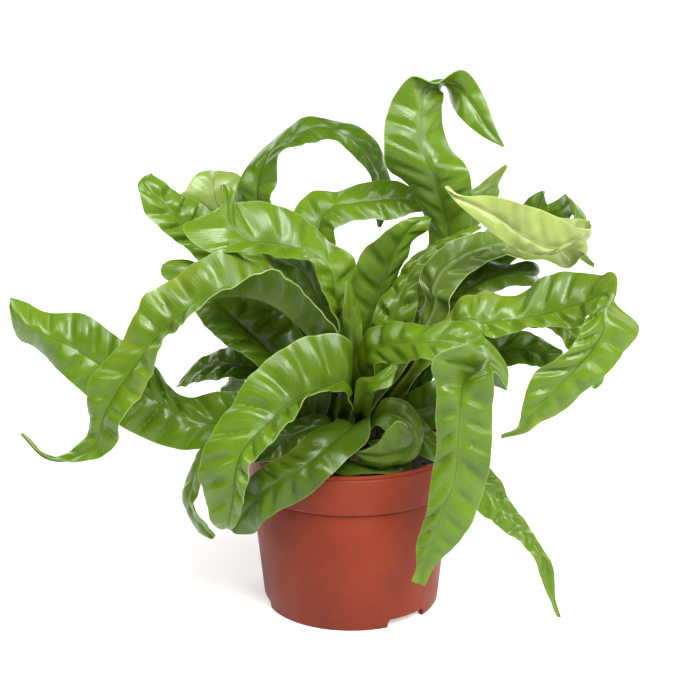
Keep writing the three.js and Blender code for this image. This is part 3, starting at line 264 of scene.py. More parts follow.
TOP_LEAVES = (
    leaf("high_loop", (118, 15.5, 6), 0.5, "shaded", (
        ((-20, 176, -42), (-28, 174, -47), (-13, 179, -38)),
        ((-40, 209, -51), (-49, 206, -57), (-31, 212, -46)),
        ((-55, 233, -50), (-64, 234, -56), (-46, 235, -42)),
        ((-56, 248, -54), (-65, 249, -58), (-46, 246, -46)),
        ((-50, 263, -56), (-57, 265, -64), (-43, 262, -48)),
        ((-38, 272, -56), (-43, 275, -66), (-33, 268, -46)),
        ((-21, 280, -56), (-21, 286, -66), (-20, 273, -46)),
        ((-4, 276, -56), (0, 282, -66), (-7, 269, -46)),
        ((9, 265, -58), (14, 271, -66), (3, 262, -50)),
        ((17, 251, -62), (22, 257, -68), (10, 252, -54)),
        ((19, 235, -66), (24, 236, -69), (13, 234, -61)),
        ((17, 220, -68), (18, 220, -68), (16, 220, -68)),
    )),
    leaf("twisted_over", (142, 8.5, 8), 1.1, "green", (
        ((-8, 178, -23), (-18, 180, -28), (0, 178, -18)),
        ((-17, 203, -29), (-30, 207, -35), (-8, 200, -22)),
        ((-19, 221, -34), (-34, 229, -42), (-11, 216, -24)),
        ((-12, 232, -37), (-24, 242, -48), (-8, 219, -27)),
        ((0, 234, -38), (-6, 242, -51), (2, 223, -28)),
        ((13, 236, -38), (11, 246, -50), (14, 226, -29)),
        ((25, 237, -38), (24, 249, -47), (25, 224, -30)),
        ((37, 236, -37), (36, 244, -43), (37, 228, -32)),
        ((51, 232, -35), (51, 233, -36), (51, 231, -34)),
    ), spread=0),
    leaf("tall_top", (50, 8.5, 8), 2.4, "green", (
        ((46, 162, -12), (39, 160, -14), (54, 164, -9)),
        ((56, 194, -22), (46, 194, -28), (68, 197, -19)),
        ((58, 220, -25), (44, 226, -31), (73, 224, -19)),
        ((53, 239, -19), (36, 244, -26), (72, 241, -11)),
        ((49, 253, -16), (23, 253, -21), (71, 254, -16)),
        ((43, 266, -19), (19, 266, -20), (61, 266, -28)),
        ((42, 281, -24), (20, 282, -23), (55, 283, -35)),
        ((43, 296, -29), (26, 298, -26), (54, 297, -40)),
        ((47, 305, -34), (36, 311, -27), (54, 302, -45)),
        ((55, 307, -36), (51, 309, -25), (56, 303, -48)),
        ((64, 304, -34), (67, 314, -30), (60, 295, -42)),
        ((73, 293, -29), (79, 300, -30), (67, 284, -28)),
        ((82, 279, -24), (86, 281, -25), (78, 275, -23)),
        ((91, 269, -19), (92, 269, -19), (91, 268, -19)),
    ), spread=0),
    leaf("behind_spike", (66, 15.5, 12), 3.0, "pale", (
        ((40, 180, -48), (32, 180, -50), (48, 180, -46)),
        ((60, 215, -56), (50, 217, -58), (70, 212, -54)),
        ((76, 236, -58), (64, 240, -60), (88, 238, -52)),
        ((84, 246, -60), (74, 244, -64), (89, 245, -56)),
        ((93, 257, -62), (93, 258, -62), (94, 257, -62)),
    )),
    leaf("centre_top", (96, 8.5, 8), 0.8, "green", (
        ((10, 158, -15), (1, 160, -12), (20, 160, -18)),
        ((17, 178, -20), (-1, 184, -16), (27, 184, -23)),
        ((22, 194, -19), (6, 202, -12), (31, 200, -27)),
        ((29, 210, -19), (17, 216, -14), (37, 211, -24)),
        ((36, 220, -19), (28, 223, -16), (45, 217, -22)),
        ((42, 224, -21), (36, 226, -20), (47, 222, -23)),
        ((47, 226, -25), (46, 227, -25), (48, 226, -25)),
    ), spread=0),
    leaf("lit_right", (4, 8.5, 4), 1.6, "green", (
        ((25, 163, 0), (14, 166, -4), (37, 163, 2)),
        ((31, 183, -5), (24, 185, -8), (40, 184, -4)),
        ((42, 202, -11), (33, 197, -14), (48, 197, -8)),
        ((54, 211, -13), (44, 207, -17), (58, 206, -10)),
        ((66, 217, -13), (57, 214, -17), (70, 213, -10)),
        ((78, 221, -17), (77, 221, -17), (78, 220, -16)),
    ), spread=0),
)

RIGHT_LEAVES = (
    leaf("yellow_fold", (-42, 8.5, 4), 0.3, "yellow", (
        ((48, 165, 6), (54, 161, 10), (43, 168, 2)),
        ((50, 184, 6), (61, 179, 10), (40, 189, 2)),
        ((59, 197, 4), (71, 193, 9), (49, 203, 0)),
        ((77, 206, 0), (85, 200, 6), (71, 216, -8)),
        ((97, 210, -8), (101, 203, 2), (93, 222, -17)),
        ((116, 210, -10), (118, 199, -1), (115, 226, -19)),
        ((131, 208, -8), (130, 195, 0), (135, 226, -18)),
        ((141, 211, 0), (137, 204, 4), (145, 223, -8)),
        ((141, 213, 9), (137, 206, 9), (145, 219, 6)),
        ((131, 211, 17), (127, 206, 15), (134, 221, 16)),
        ((119, 207, 21), (119, 204, 16), (122, 227, 22)),
        ((104, 214, 24), (105, 205, 22), (109, 232, 24)),
        ((89, 225, 26), (90, 213, 26), (94, 237, 26)),
        ((76, 232, 26), (76, 224, 26), (80, 239, 26)),
        ((63, 238, 25), (64, 234, 26), (65, 239, 26)),
        ((57, 244, 26), (57, 243, 26), (56, 244, 27)),
    ), spread=0),
    leaf("dark_curl_right", (8, 16, 8), 1.3, "shaded", (
        ((53, 169, -2), (50, 176, -8), (60, 165, 3)),
        ((67, 181, -2), (62, 190, -9), (73, 175, 5)),
        ((82, 190, -4), (80, 198, -14), (85, 182, 5)),
        ((97, 192, -4), (97, 199, -15), (97, 184, 5)),
        ((107, 192, -6), (107, 200, -14), (106, 184, 3)),
        ((112, 191, -12), (112, 196, -16), (112, 186, -8)),
        ((111, 190, -18), (111, 191, -18), (111, 189, -18)),
    ), spread=0),
    leaf("right_hanging", (-20, 16, 12), 2.2, "ripening", (
        ((62, 160, 24), (58, 169, 17), (65, 154, 29)),
        ((80, 163, 21), (76, 179, 9), (82, 155, 29)),
        ((98, 165, 21), (97, 180, 9), (100, 157, 30)),
        ((116, 168, 21), (115, 189, 9), (117, 160, 32)),
        ((133, 173, 22), (131, 193, 8), (135, 161, 33)),
        ((148, 179, 27), (149, 193, 11), (142, 163, 38)),
        ((154, 178, 35), (159, 190, 22), (143, 167, 45)),
        ((152, 169, 41), (157, 175, 33), (141, 163, 48)),
        ((152, 161, 45), (173, 161, 37), (138, 158, 51)),
        ((148, 151, 48), (168, 149, 42), (134, 152, 53)),
        ((139, 139, 51), (156, 136, 47), (123, 141, 55)),
        ((127, 127, 54), (143, 124, 50), (109, 131, 56)),
        ((117, 117, 56), (128, 110, 53), (103, 117, 57)),
        ((107, 106, 57), (113, 103, 55), (101, 105, 57)),
        ((101, 98, 57), (104, 97, 56), (99, 99, 58)),
        ((90, 94, 56), (90, 93, 56), (90, 95, 56)),
    ), spread=0),
    leaf("low_right", (2, 23, 24), 0.7, "green", (
        ((50, 143, -8), (49, 151, -15), (52, 135, -1)),
        ((71, 146, -8), (70, 156, -16), (73, 137, 0)),
        ((89, 146, -8), (89, 158, -16), (91, 136, 2)),
        ((104, 147, -8), (104, 157, -16), (107, 137, 2)),
        ((117, 145, -6), (117, 151, -14), (117, 137, 4)),
        ((127, 145, -5), (127, 146, -6), (127, 144, -4)),
    )),
    leaf("dark_behind_right", (20, 23, 22), 1.9, "green", (
        ((60, 152, -26), (58, 160, -32), (62, 144, -20)),
        ((95, 168, -24), (95, 176, -32), (95, 160, -16)),
        ((120, 166, -18), (124, 174, -26), (118, 158, -10)),
        ((134, 155, -10), (140, 161, -17), (129, 149, -3)),
        ((143, 142, -4), (149, 145, -9), (137, 138, 2)),
        ((148, 131, -2), (152, 130, -6), (143, 127, 2)),
        ((146, 123, -1), (147, 123, -1), (145, 123, -1)),
    )),
    leaf("spike_behind_yellow", (36, 16, 14), 2.8, "shaded", (
        ((60, 190, -40), (54, 193, -46), (67, 188, -34)),
        ((92, 214, -46), (85, 220, -52), (100, 210, -40)),
        ((109, 228, -48), (100, 232, -54), (118, 228, -42)),
        ((113, 236, -50), (107, 238, -53), (117, 236, -46)),
        ((115, 242, -52), (114, 242, -52), (115, 242, -52)),
    )),
    leaf("far_right_point", (38, 23, 20), 0.1, "shaded", (
        ((76, 190, -56), (72, 196, -62), (82, 185, -50)),
        ((110, 219, -58), (106, 226, -64), (116, 213, -52)),
        ((126, 230, -54), (122, 236, -61), (130, 224, -48)),
        ((132, 234, -48), (129, 240, -57), (134, 227, -42)),
        ((136, 224, -42), (139, 228, -50), (131, 222, -37)),
        ((137, 212, -40), (141, 213, -45), (133, 212, -36)),
        ((139, 203, -40), (141, 205, -42), (136, 202, -38)),
        ((146, 197, -40), (146, 198, -40), (146, 196, -40)),
    )),
    leaf("lower_right_trail", (-40, 23, 24), 1.5, "green", (
        ((33, 102, 31), (35, 107, 27), (30, 95, 35)),
        ((47, 92, 32), (50, 98, 26), (43, 82, 37)),
        ((63, 80, 34), (67, 88, 27), (60, 72, 41)),
        ((82, 62, 34), (89, 70, 27), (76, 49, 38)),
        ((94, 48, 36), (97, 51, 31), (87, 42, 40)),
        ((106, 36, 39), (109, 38, 35), (100, 32, 43)),
        ((116, 19, 42), (119, 20, 40), (111, 17, 46)),
        ((120, 1, 44), (122, 1, 43), (118, 0, 46)),
        ((125, -14, 46), (126, -14, 46), (124, -14, 46)),
    )),
)

FRONT_LEAVES = (
    leaf("front_hanging", (-54, 16, 8), 0.6, "green", (
        ((9, 140, 26), (4, 149, 18), (15, 134, 34)),
        ((21, 149, 36), (20, 161, 24), (25, 138, 46)),
        ((35, 151, 46), (35, 163, 34), (36, 140, 56)),
        ((48, 151, 54), (51, 162, 42), (47, 139, 63)),
        ((62, 151, 58), (67, 162, 48), (59, 139, 66)),
        ((75, 146, 61), (80, 156, 52), (69, 139, 70)),
        ((80, 140, 64), (90, 144, 56), (74, 147, 76)),
        ((77, 134, 68), (95, 133, 60), (68, 151, 85)),
        ((71, 130, 73), (92, 122, 66), (54, 145, 91)),
        ((67, 125, 79), (84, 133, 80), (49, 137, 91)),
        ((66, 115, 83), (86, 119, 80), (51, 126, 87)),
        ((65, 104, 84), (85, 104, 79), (50, 109, 83)),
        ((64, 89, 84), (84, 87, 79), (51, 87, 81)),
        ((62, 68, 83), (80, 62, 79), (47, 63, 80)),
        ((55, 50, 82), (72, 43, 78), (44, 45, 80)),
        ((48, 29, 81), (60, 26, 78), (39, 29, 80)),
        ((43, 14, 80), (50, 17, 79), (39, 16, 80)),
        ((41, 6, 80), (44, 5, 79), (36, 8, 81)),
    ), spread=0),
    leaf("left_hanging", (-116, 16, 10), 1.4, "green", (
        ((-2, 126, 37), (0, 119, 43), (-1, 143, 27)),
        ((-14, 125, 46), (-14, 121, 58), (-10, 156, 34)),
        ((-28, 120, 55), (-27, 118, 69), (-29, 154, 42)),
        ((-40, 113, 63), (-32, 110, 77), (-49, 140, 50)),
        ((-50, 103, 70), (-38, 100, 83), (-67, 122, 58)),
        ((-59, 94, 75), (-50, 88, 87), (-80, 104, 64)),
        ((-67, 82, 78), (-61, 79, 88), (-87, 86, 68)),
        ((-70, 70, 79), (-62, 67, 87), (-91, 73, 70)),
        ((-71, 58, 78), (-64, 55, 85), (-89, 59, 70)),
        ((-73, 47, 76), (-67, 47, 81), (-85, 47, 70)),
        ((-74, 41, 72), (-70, 40, 75), (-80, 41, 68)),
        ((-75, 39, 66), (-74, 39, 67), (-76, 39, 66)),
    )),
    leaf("dark_over_rim", (-98, 23, 16), 2.5, "shaded", (
        ((2, 101, 34), (9, 103, 37), (-7, 106, 30)),
        ((-4, 97, 46), (11, 95, 49), (-13, 102, 41)),
        ((-14, 89, 57), (2, 85, 61), (-27, 93, 51)),
        ((-24, 80, 64), (-11, 71, 68), (-37, 86, 57)),
        ((-37, 72, 67), (-29, 57, 70), (-45, 81, 59)),
        ((-49, 64, 65), (-43, 50, 68), (-53, 76, 58)),
        ((-59, 55, 61), (-52, 43, 66), (-66, 65, 55)),
        ((-67, 46, 56), (-59, 36, 60), (-73, 54, 51)),
        ((-72, 38, 53), (-69, 36, 55), (-74, 40, 51)),
    )),
    leaf("narrow_curl_left", (204, 23, 24), 0.9, "green", (
        ((-50, 92, 34), (-48, 87, 40), (-53, 97, 27)),
        ((-76, 91, 40), (-75, 84, 47), (-78, 97, 31)),
        ((-89, 83, 44), (-87, 76, 51), (-93, 86, 36)),
        ((-94, 71, 46), (-91, 68, 53), (-97, 73, 38)),
        ((-97, 60, 47), (-94, 58, 54), (-99, 61, 40)),
        ((-95, 49, 50), (-93, 51, 56), (-99, 49, 43)),
        ((-89, 41, 54), (-87, 43, 60), (-93, 38, 48)),
        ((-83, 34, 58), (-83, 35, 59), (-84, 33, 58)),
    )),
    leaf("front_curl", (-78, 23, 12), 0.2, "green", (
        ((17, 107, 31), (17, 114, 27), (15, 100, 36)),
        ((27, 107, 36), (31, 115, 30), (21, 98, 42)),
        ((36, 100, 42), (41, 107, 35), (27, 96, 48)),
        ((38, 92, 45), (45, 96, 40), (30, 96, 53)),
        ((35, 88, 48), (42, 86, 43), (32, 102, 57)),
        ((29, 85, 50), (34, 80, 46), (27, 104, 58)),
        ((23, 83, 51), (25, 78, 47), (21, 98, 57)),
        ((16, 82, 51), (17, 77, 48), (17, 91, 55)),
        ((9, 83, 50), (8, 79, 48), (10, 87, 52)),
        ((2, 85, 50), (2, 84, 49), (2, 85, 51)),
    )),
    leaf("short_curl", (-76, 17, 6), 0.4, "green", (
        ((7, 115, 38), (3, 116, 37), (11, 112, 40)),
        ((8, 124, 46), (3, 128, 43), (13, 120, 50)),
        ((15, 127, 53), (14, 131, 48), (17, 122, 57)),
        ((22, 131, 53), (21, 135, 49), (24, 125, 57)),
        ((27, 137, 49), (26, 138, 48), (27, 136, 50)),
    )),
    leaf("low_left", (-118, 23, 22), 1.0, "shaded", (
        ((-13, 101, 33), (-10, 94, 38), (-17, 106, 31)),
        ((-29, 98, 41), (-25, 88, 47), (-33, 106, 36)),
        ((-44, 90, 46), (-41, 80, 52), (-47, 97, 43)),
        ((-52, 84, 50), (-51, 79, 53), (-54, 87, 48)),
        ((-58, 80, 52), (-58, 79, 53), (-58, 81, 52)),
    )),
    leaf("along_rim", (-58, 23, 22), 1.7, "shaded", (
        ((19, 93, 42), (24, 96, 39), (14, 89, 45)),
        ((31, 85, 44), (35, 88, 41), (27, 80, 48)),
        ((32, 78, 43), (35, 75, 42), (28, 82, 37)),
        ((23, 74, 46), (25, 71, 49), (21, 80, 39)),
        ((9, 74, 48), (9, 71, 52), (9, 80, 41)),
        ((-5, 75, 47), (-6, 72, 51), (-4, 80, 41)),
        ((-16, 77, 43), (-16, 76, 44), (-16, 78, 42)),
    )),
    leaf("inner_right", (-19, 23, 24), 0.6, "shaded", (
        ((33, 108, 16), (31, 116, 12), (36, 98, 21)),
        ((45, 112, 17), (42, 124, 12), (49, 99, 23)),
        ((58, 118, 18), (55, 130, 12), (62, 106, 24)),
        ((70, 123, 19), (69, 129, 15), (73, 115, 23)),
        ((80, 124, 19), (80, 125, 19), (80, 123, 19)),
    )),
    leaf("furled_centre", (0, 0, 0), 0, "green", (
        ((1, 150, 12), (-3, 150, 14), (5, 150, 10)),
        ((0, 167, 14), (-6, 167, 18), (5, 168, 9)),
        ((-1, 178, 14), (-5, 178, 17), (3, 179, 9)),
        ((-2, 188, 13), (-3, 188, 13), (-1, 188, 13)),
    )),
)

REAR_SECTIONS = 6
REAR_HALF_WIDTH = 17
REAR_FOLD = 0.25
REAR_START = 18
REAR_LIFT = 2.1
REAR_ROLL = 5


def rear_leaf(name, turn, aim, out, reach, rise, drop, twist, phase):
    """A frond of the far side, which arches outwards by one rule."""
    rows = []
    outward = around(aim, 1, 0)
    side = around(aim - 90, 1, 0)
    start = around(turn, out, CROWN_TOP + REAR_START)
    for section in range(1, REAR_SECTIONS + 1):
        share = section / REAR_SECTIONS
        rib = start + outward * (reach * share ** 0.9)
        rib.z += rise * math.sin(REAR_LIFT * share) - drop * share ** 3
        roll = twist * math.sin(REAR_ROLL * share + phase)
        half = max(1, REAR_HALF_WIDTH * max(0, math.sin(math.pi * share ** 1.2)) ** 0.8)
        across = side * math.cos(roll)
        across.z = math.sin(roll)
        lift = Vector((0, 0, REAR_FOLD * half))
        rows.append((rib, rib - across * half + lift, rib + across * half + lift))
    return leaf(name, (turn, out, out), phase, "green", rows, spread=0)


REAR_LEAVES = (
    rear_leaf("rear_right", 60, 54, 23, 92, 28, 70, 0.3, 0.4),
    rear_leaf("rear_right_inner", 78, 78, 23, 106, 58, 60, -0.35, 1.2),
    rear_leaf("rear_left_inner", 96, 96, 23, 118, 34, 90, 0.3, 2.1),
    rear_leaf("rear_left", 132, 134, 23, 96, 22, 62, -0.35, 0.8),
)


# Sizes and colours that a user would change

class PotSizes(bpy.types.PropertyGroup):
    """The pot's sizes and colour."""

    height: FloatProperty(
        name="Height", description="From the foot to the rim",
        default=POT_HIGH.z, unit="LENGTH", subtype="DISTANCE")
    rim_radius: FloatProperty(
        name="Rim radius", description="Outer radius of the band below the rim",
        default=POT_HIGH.x, unit="LENGTH", subtype="DISTANCE")
    foot_radius: FloatProperty(
        name="Foot radius", description="Outer radius where the pot stands",
        default=0.0507, unit="LENGTH", subtype="DISTANCE")
    wall: FloatProperty(
        name="Wall", description="Thickness of the moulded wall",
        default=0.0018, unit="LENGTH", subtype="DISTANCE")
    colour: FloatVectorProperty(
        name="Colour", description="Colour of the plastic", subtype="COLOR",
        default=(0.18, 0.026, 0.0095))


class LeafSizes(bpy.types.PropertyGroup):
    """The fronds' sizes and colours."""

    thickness: FloatProperty(
        name="Thickness", description="Thickness of the blade beside the midrib",
        default=0.0009, unit="LENGTH", subtype="DISTANCE")
    wave_height: FloatProperty(
        name="Wave height", description="How far the long waves lift an edge",
        default=0.0023, unit="LENGTH", subtype="DISTANCE")
    green: FloatVectorProperty(
        name="Green", description="Colour of most blades", subtype="COLOR",
        default=(0.08, 0.147, 0.004))
    # Painted shade: this darker copy of the green goes on blades that lie in shade, not on older
    # blades
    shaded: FloatVectorProperty(
        name="Dark green", description="Colour of the older blades", subtype="COLOR",
        default=(0.056, 0.11, 0.003))
    yellow: FloatVectorProperty(
        name="Yellow green", description="Colour of the palest blades", subtype="COLOR",
        default=(0.26, 0.32, 0.08))
    pale: FloatVectorProperty(
        name="Pale", description="Colour of a pale curled tip", subtype="COLOR",
        default=(0.15, 0.215, 0.04))


class SoilSizes(bpy.types.PropertyGroup):
    """What fills the pot."""

    crumbs: IntProperty(
        name="Crumbs", description="How many crumbs lie on the soil", default=240)
    scales: IntProperty(
        name="Scales", description="How many fibres cover the crown", default=220)
    soil_colour: FloatVectorProperty(
        name="Soil", description="Colour of the potting soil", subtype="COLOR",
        default=(0.045, 0.028, 0.018))
    crown_colour: FloatVectorProperty(
        name="Crown", description="Colour of the crown's fibres", subtype="COLOR",
        default=(0.075, 0.04, 0.018))


class StageSizes(bpy.types.PropertyGroup):
    """The camera and the floor."""

    distance: FloatProperty(
        name="Distance", description="From the pot's axis to the camera",
        default=VIEW_DISTANCE * MM, unit="LENGTH", subtype="DISTANCE")
    height: FloatProperty(
        name="Height", description="Height of the camera",
        default=VIEW_HEIGHT * MM, unit="LENGTH", subtype="DISTANCE")
    lens: FloatProperty(
        name="Lens", description="Focal length in millimetres", default=84.86)
    floor_colour: FloatVectorProperty(
        name="Floor", description="Colour of the floor", subtype="COLOR",
        default=(0.62, 0.62, 0.62))


# Tools

def add(operator, name, **values):
    """Adds a primitive with nothing else selected, and names it."""
    bpy.ops.object.select_all(action="DESELECT")
    operator(**values)
    piece = bpy.context.object
    piece.name = name
    piece.data.name = name
    return piece


def select_only(piece):
    bpy.ops.object.select_all(action="DESELECT")
    piece.select_set(True)
    bpy.context.view_layer.objects.active = piece


def apply_modifier(piece, name, kind, **values):
    """Adds one modifier with its values and applies it."""
    select_only(piece)
    modifier = piece.modifiers.new(name, kind)
    for key, value in values.items():
        setattr(modifier, key, value)
    bpy.ops.object.modifier_apply(modifier=modifier.name)


def fix_place(piece):
    """Leaves the object at the origin, unturned and unscaled, with its place in its mesh."""
    select_only(piece)
    bpy.ops.object.transform_apply(location=True, rotation=True, scale=True)


def smooth(piece, angle):
    select_only(piece)
    bpy.ops.object.shade_smooth_by_angle(angle=math.radians(angle))


def turned(name, profile, sides):
    """A closed turned shell, drawn as a ring up and down the profile's radii and heights."""
    radius, height = profile[0]
    piece = add(bpy.ops.mesh.primitive_circle_add, name, vertices=sides,
                radius=radius, fill_type="TRIFAN", location=(0, 0, height))
    fix_place(piece)
    bpy.ops.object.mode_set(mode="EDIT")
    bpy.ops.mesh.select_mode(type="EDGE")
    bpy.ops.mesh.select_all(action="DESELECT")
    bpy.ops.mesh.select_non_manifold()
    for next_radius, next_height in profile[1:]:
        rise = (0, 0, next_height - height)
        bpy.ops.mesh.extrude_region_move(TRANSFORM_OT_translate={"value": rise})
        share = next_radius / radius
        bpy.ops.transform.resize(value=(share, share, 1))
        radius, height = next_radius, next_height
    bpy.ops.mesh.extrude_region_move(TRANSFORM_OT_translate={"value": (0, 0, 0)})
    bpy.ops.mesh.merge(type="CENTER")
    bpy.ops.mesh.select_all(action="SELECT")
    bpy.ops.mesh.normals_make_consistent(inside=False)
    bpy.ops.object.mode_set(mode="OBJECT")
    return piece


def cut(piece, cutter):
    """Takes the cutter's shape out of the piece."""
    apply_modifier(piece, "Cut", "BOOLEAN", object=cutter, operation="DIFFERENCE", solver="EXACT")
    bpy.data.objects.remove(cutter, do_unlink=True)


def join(piece, others):
    bpy.ops.object.select_all(action="DESELECT")
    for other in others:
        other.select_set(True)
    piece.select_set(True)
    bpy.context.view_layer.objects.active = piece
    bpy.ops.object.join()


def ease(value):
    """A smooth step from 0 to 1."""
    share = min(1, max(0, value))
    return share * share * (3 - 2 * share)


# Materials

def new_material(name, roughness):
    """A material with one Principled shader, and a way to add and link its nodes."""
    material = bpy.data.materials.new(name)
    material.use_nodes = True
    tree = material.node_tree
    shader = tree.nodes["Principled BSDF"]
    shader.inputs["Roughness"].default_value = roughness
    return material, tree, shader


def blend_colours(tree, factor, first, second):
    """The first colour turned into the second by the factor."""
    mix = tree.nodes.new("ShaderNodeMix")
    mix.data_type = "RGBA"
    for socket, source in (("Factor", factor), (6, first), (7, second)):
        target = mix.inputs[socket]
        if isinstance(source, bpy.types.NodeSocket):
            tree.links.new(source, target)
        else:
            target.default_value = (*source[:3], 1)
    return mix.outputs[2]


def maths(tree, operation, *sources):
    """One sum on numbers or sockets."""
    made = tree.nodes.new("ShaderNodeMath")
    made.operation = operation
    for index, source in enumerate(sources):
        if isinstance(source, bpy.types.NodeSocket):
            tree.links.new(source, made.inputs[index])
        else:
            made.inputs[index].default_value = source
    return made.outputs[0]


def remap(tree, source, low, high, new_low=0.0, new_high=1.0):
    """The source's range carried over to a new one, held at both ends."""
    made = tree.nodes.new("ShaderNodeMapRange")
    tree.links.new(source, made.inputs["Value"])
    names = ("From Min", "From Max", "To Min", "To Max")
    for key, value in zip(names, (low, high, new_low, new_high)):
        made.inputs[key].default_value = value
    return made.outputs["Result"]


def cloud(tree, scale, detail=4.0):
    """Soft noise in the object's own coordinates."""
    place = tree.nodes.new("ShaderNodeTexCoord").outputs["Object"]
    made = tree.nodes.new("ShaderNodeTexNoise")
    tree.links.new(place, made.inputs["Vector"])
    made.inputs["Scale"].default_value = scale
    made.inputs["Detail"].default_value = detail
    return made.outputs["Fac"]


def clouds(tree, scale, detail, low, high, least=0.0, most=1.0):
    """Soft noise whose levels from low to high are carried over to least and most."""
    return remap(tree, cloud(tree, scale, detail), low, high, least, most)


def roughen(tree, shader, height, strength, distance):
    """Bumps the shader's surface by a height."""
    bump = tree.nodes.new("ShaderNodeBump")
    bump.inputs["Strength"].default_value = strength
    bump.inputs["Distance"].default_value = distance
    tree.links.new(height, bump.inputs["Height"])
    tree.links.new(bump.outputs["Normal"], shader.inputs["Normal"])


def plastic_material(colour):
    """Moulded terracotta-coloured plastic: a fine matt grain, faint flow clouds and dust."""
    material, tree, shader = new_material("pot_plastic", 0.45)
    pale = [min(1, c * 1.35 + 0.02) for c in colour]
    deep = [c * 0.78 for c in colour]
    flow = clouds(tree, scale=22, detail=3, low=0.35, high=0.68)
    base = blend_colours(tree, flow, deep, list(colour))
    dust = clouds(tree, scale=160, detail=8, low=0.6, high=0.85, most=0.35)
    tree.links.new(blend_colours(tree, dust, base, pale), shader.inputs["Base Color"])
    gloss = clouds(tree, scale=60, detail=6, low=0.3, high=0.7, least=0.36, most=0.54)
    tree.links.new(gloss, shader.inputs["Roughness"])
    roughen(tree, shader, cloud(tree, 2600, 3), 0.12, 0.0002)
    shader.inputs["Specular IOR Level"].default_value = 0.12
    return material


def soil_material(colour):
    """Dark potting soil with paler bits of bark and peat."""
    material, tree, shader = new_material("potting_soil", 0.95)
    pale = [c * 2.6 + 0.01 for c in colour]
    deep = [c * 0.4 for c in colour]
    damp = clouds(tree, scale=90, detail=6, low=0.35, high=0.65)
    base = blend_colours(tree, damp, deep, list(colour))
    bits = clouds(tree, scale=420, detail=4, low=0.58, high=0.72)
    tree.links.new(blend_colours(tree, bits, base, pale), shader.inputs["Base Color"])
    roughen(tree, shader, cloud(tree, 700, 8), 0.7, 0.001)
    return material


def crown_material(colour):
    """Brown fibrous scales, streaked darker and paler."""
    material, tree, shader = new_material("crown_fibre", 0.8)
    pale = [c * 2.2 + 0.01 for c in colour]
    deep = [c * 0.35 for c in colour]
    streak = clouds(tree, scale=260, detail=5, low=0.35, high=0.65)
    tree.links.new(blend_colours(tree, streak, deep, pale), shader.inputs["Base Color"])
    roughen(tree, shader, cloud(tree, 900, 5), 0.5, 0.0006)
    return material


FINE_VEIN_SPACING = 0.016
VEIN_SLANT = 0.1
RIPE_COLOUR = (0.2, 0.22, 0.02)
# Painted shade: a blade is darkened towards its stalk, where the crowded fronds lie in shade, up to
# this many tenths of a metre
STALK_SHADE_START = 0.3
STALK_SHADE_END = 1.15
STALK_SHADE_SHARE = 0.75
# From the stalk to the open blade
MIRROR = (0.1, 0.22)
COAT = (0.05, 0.15)
# Across a blade, from 0 at the midrib to 1 at the edge
RIB_BAND = (0.02, 0.06)
GROOVE_BAND = (0.006, 0.026)
EDGE_BAND = (0.965, 0.985)


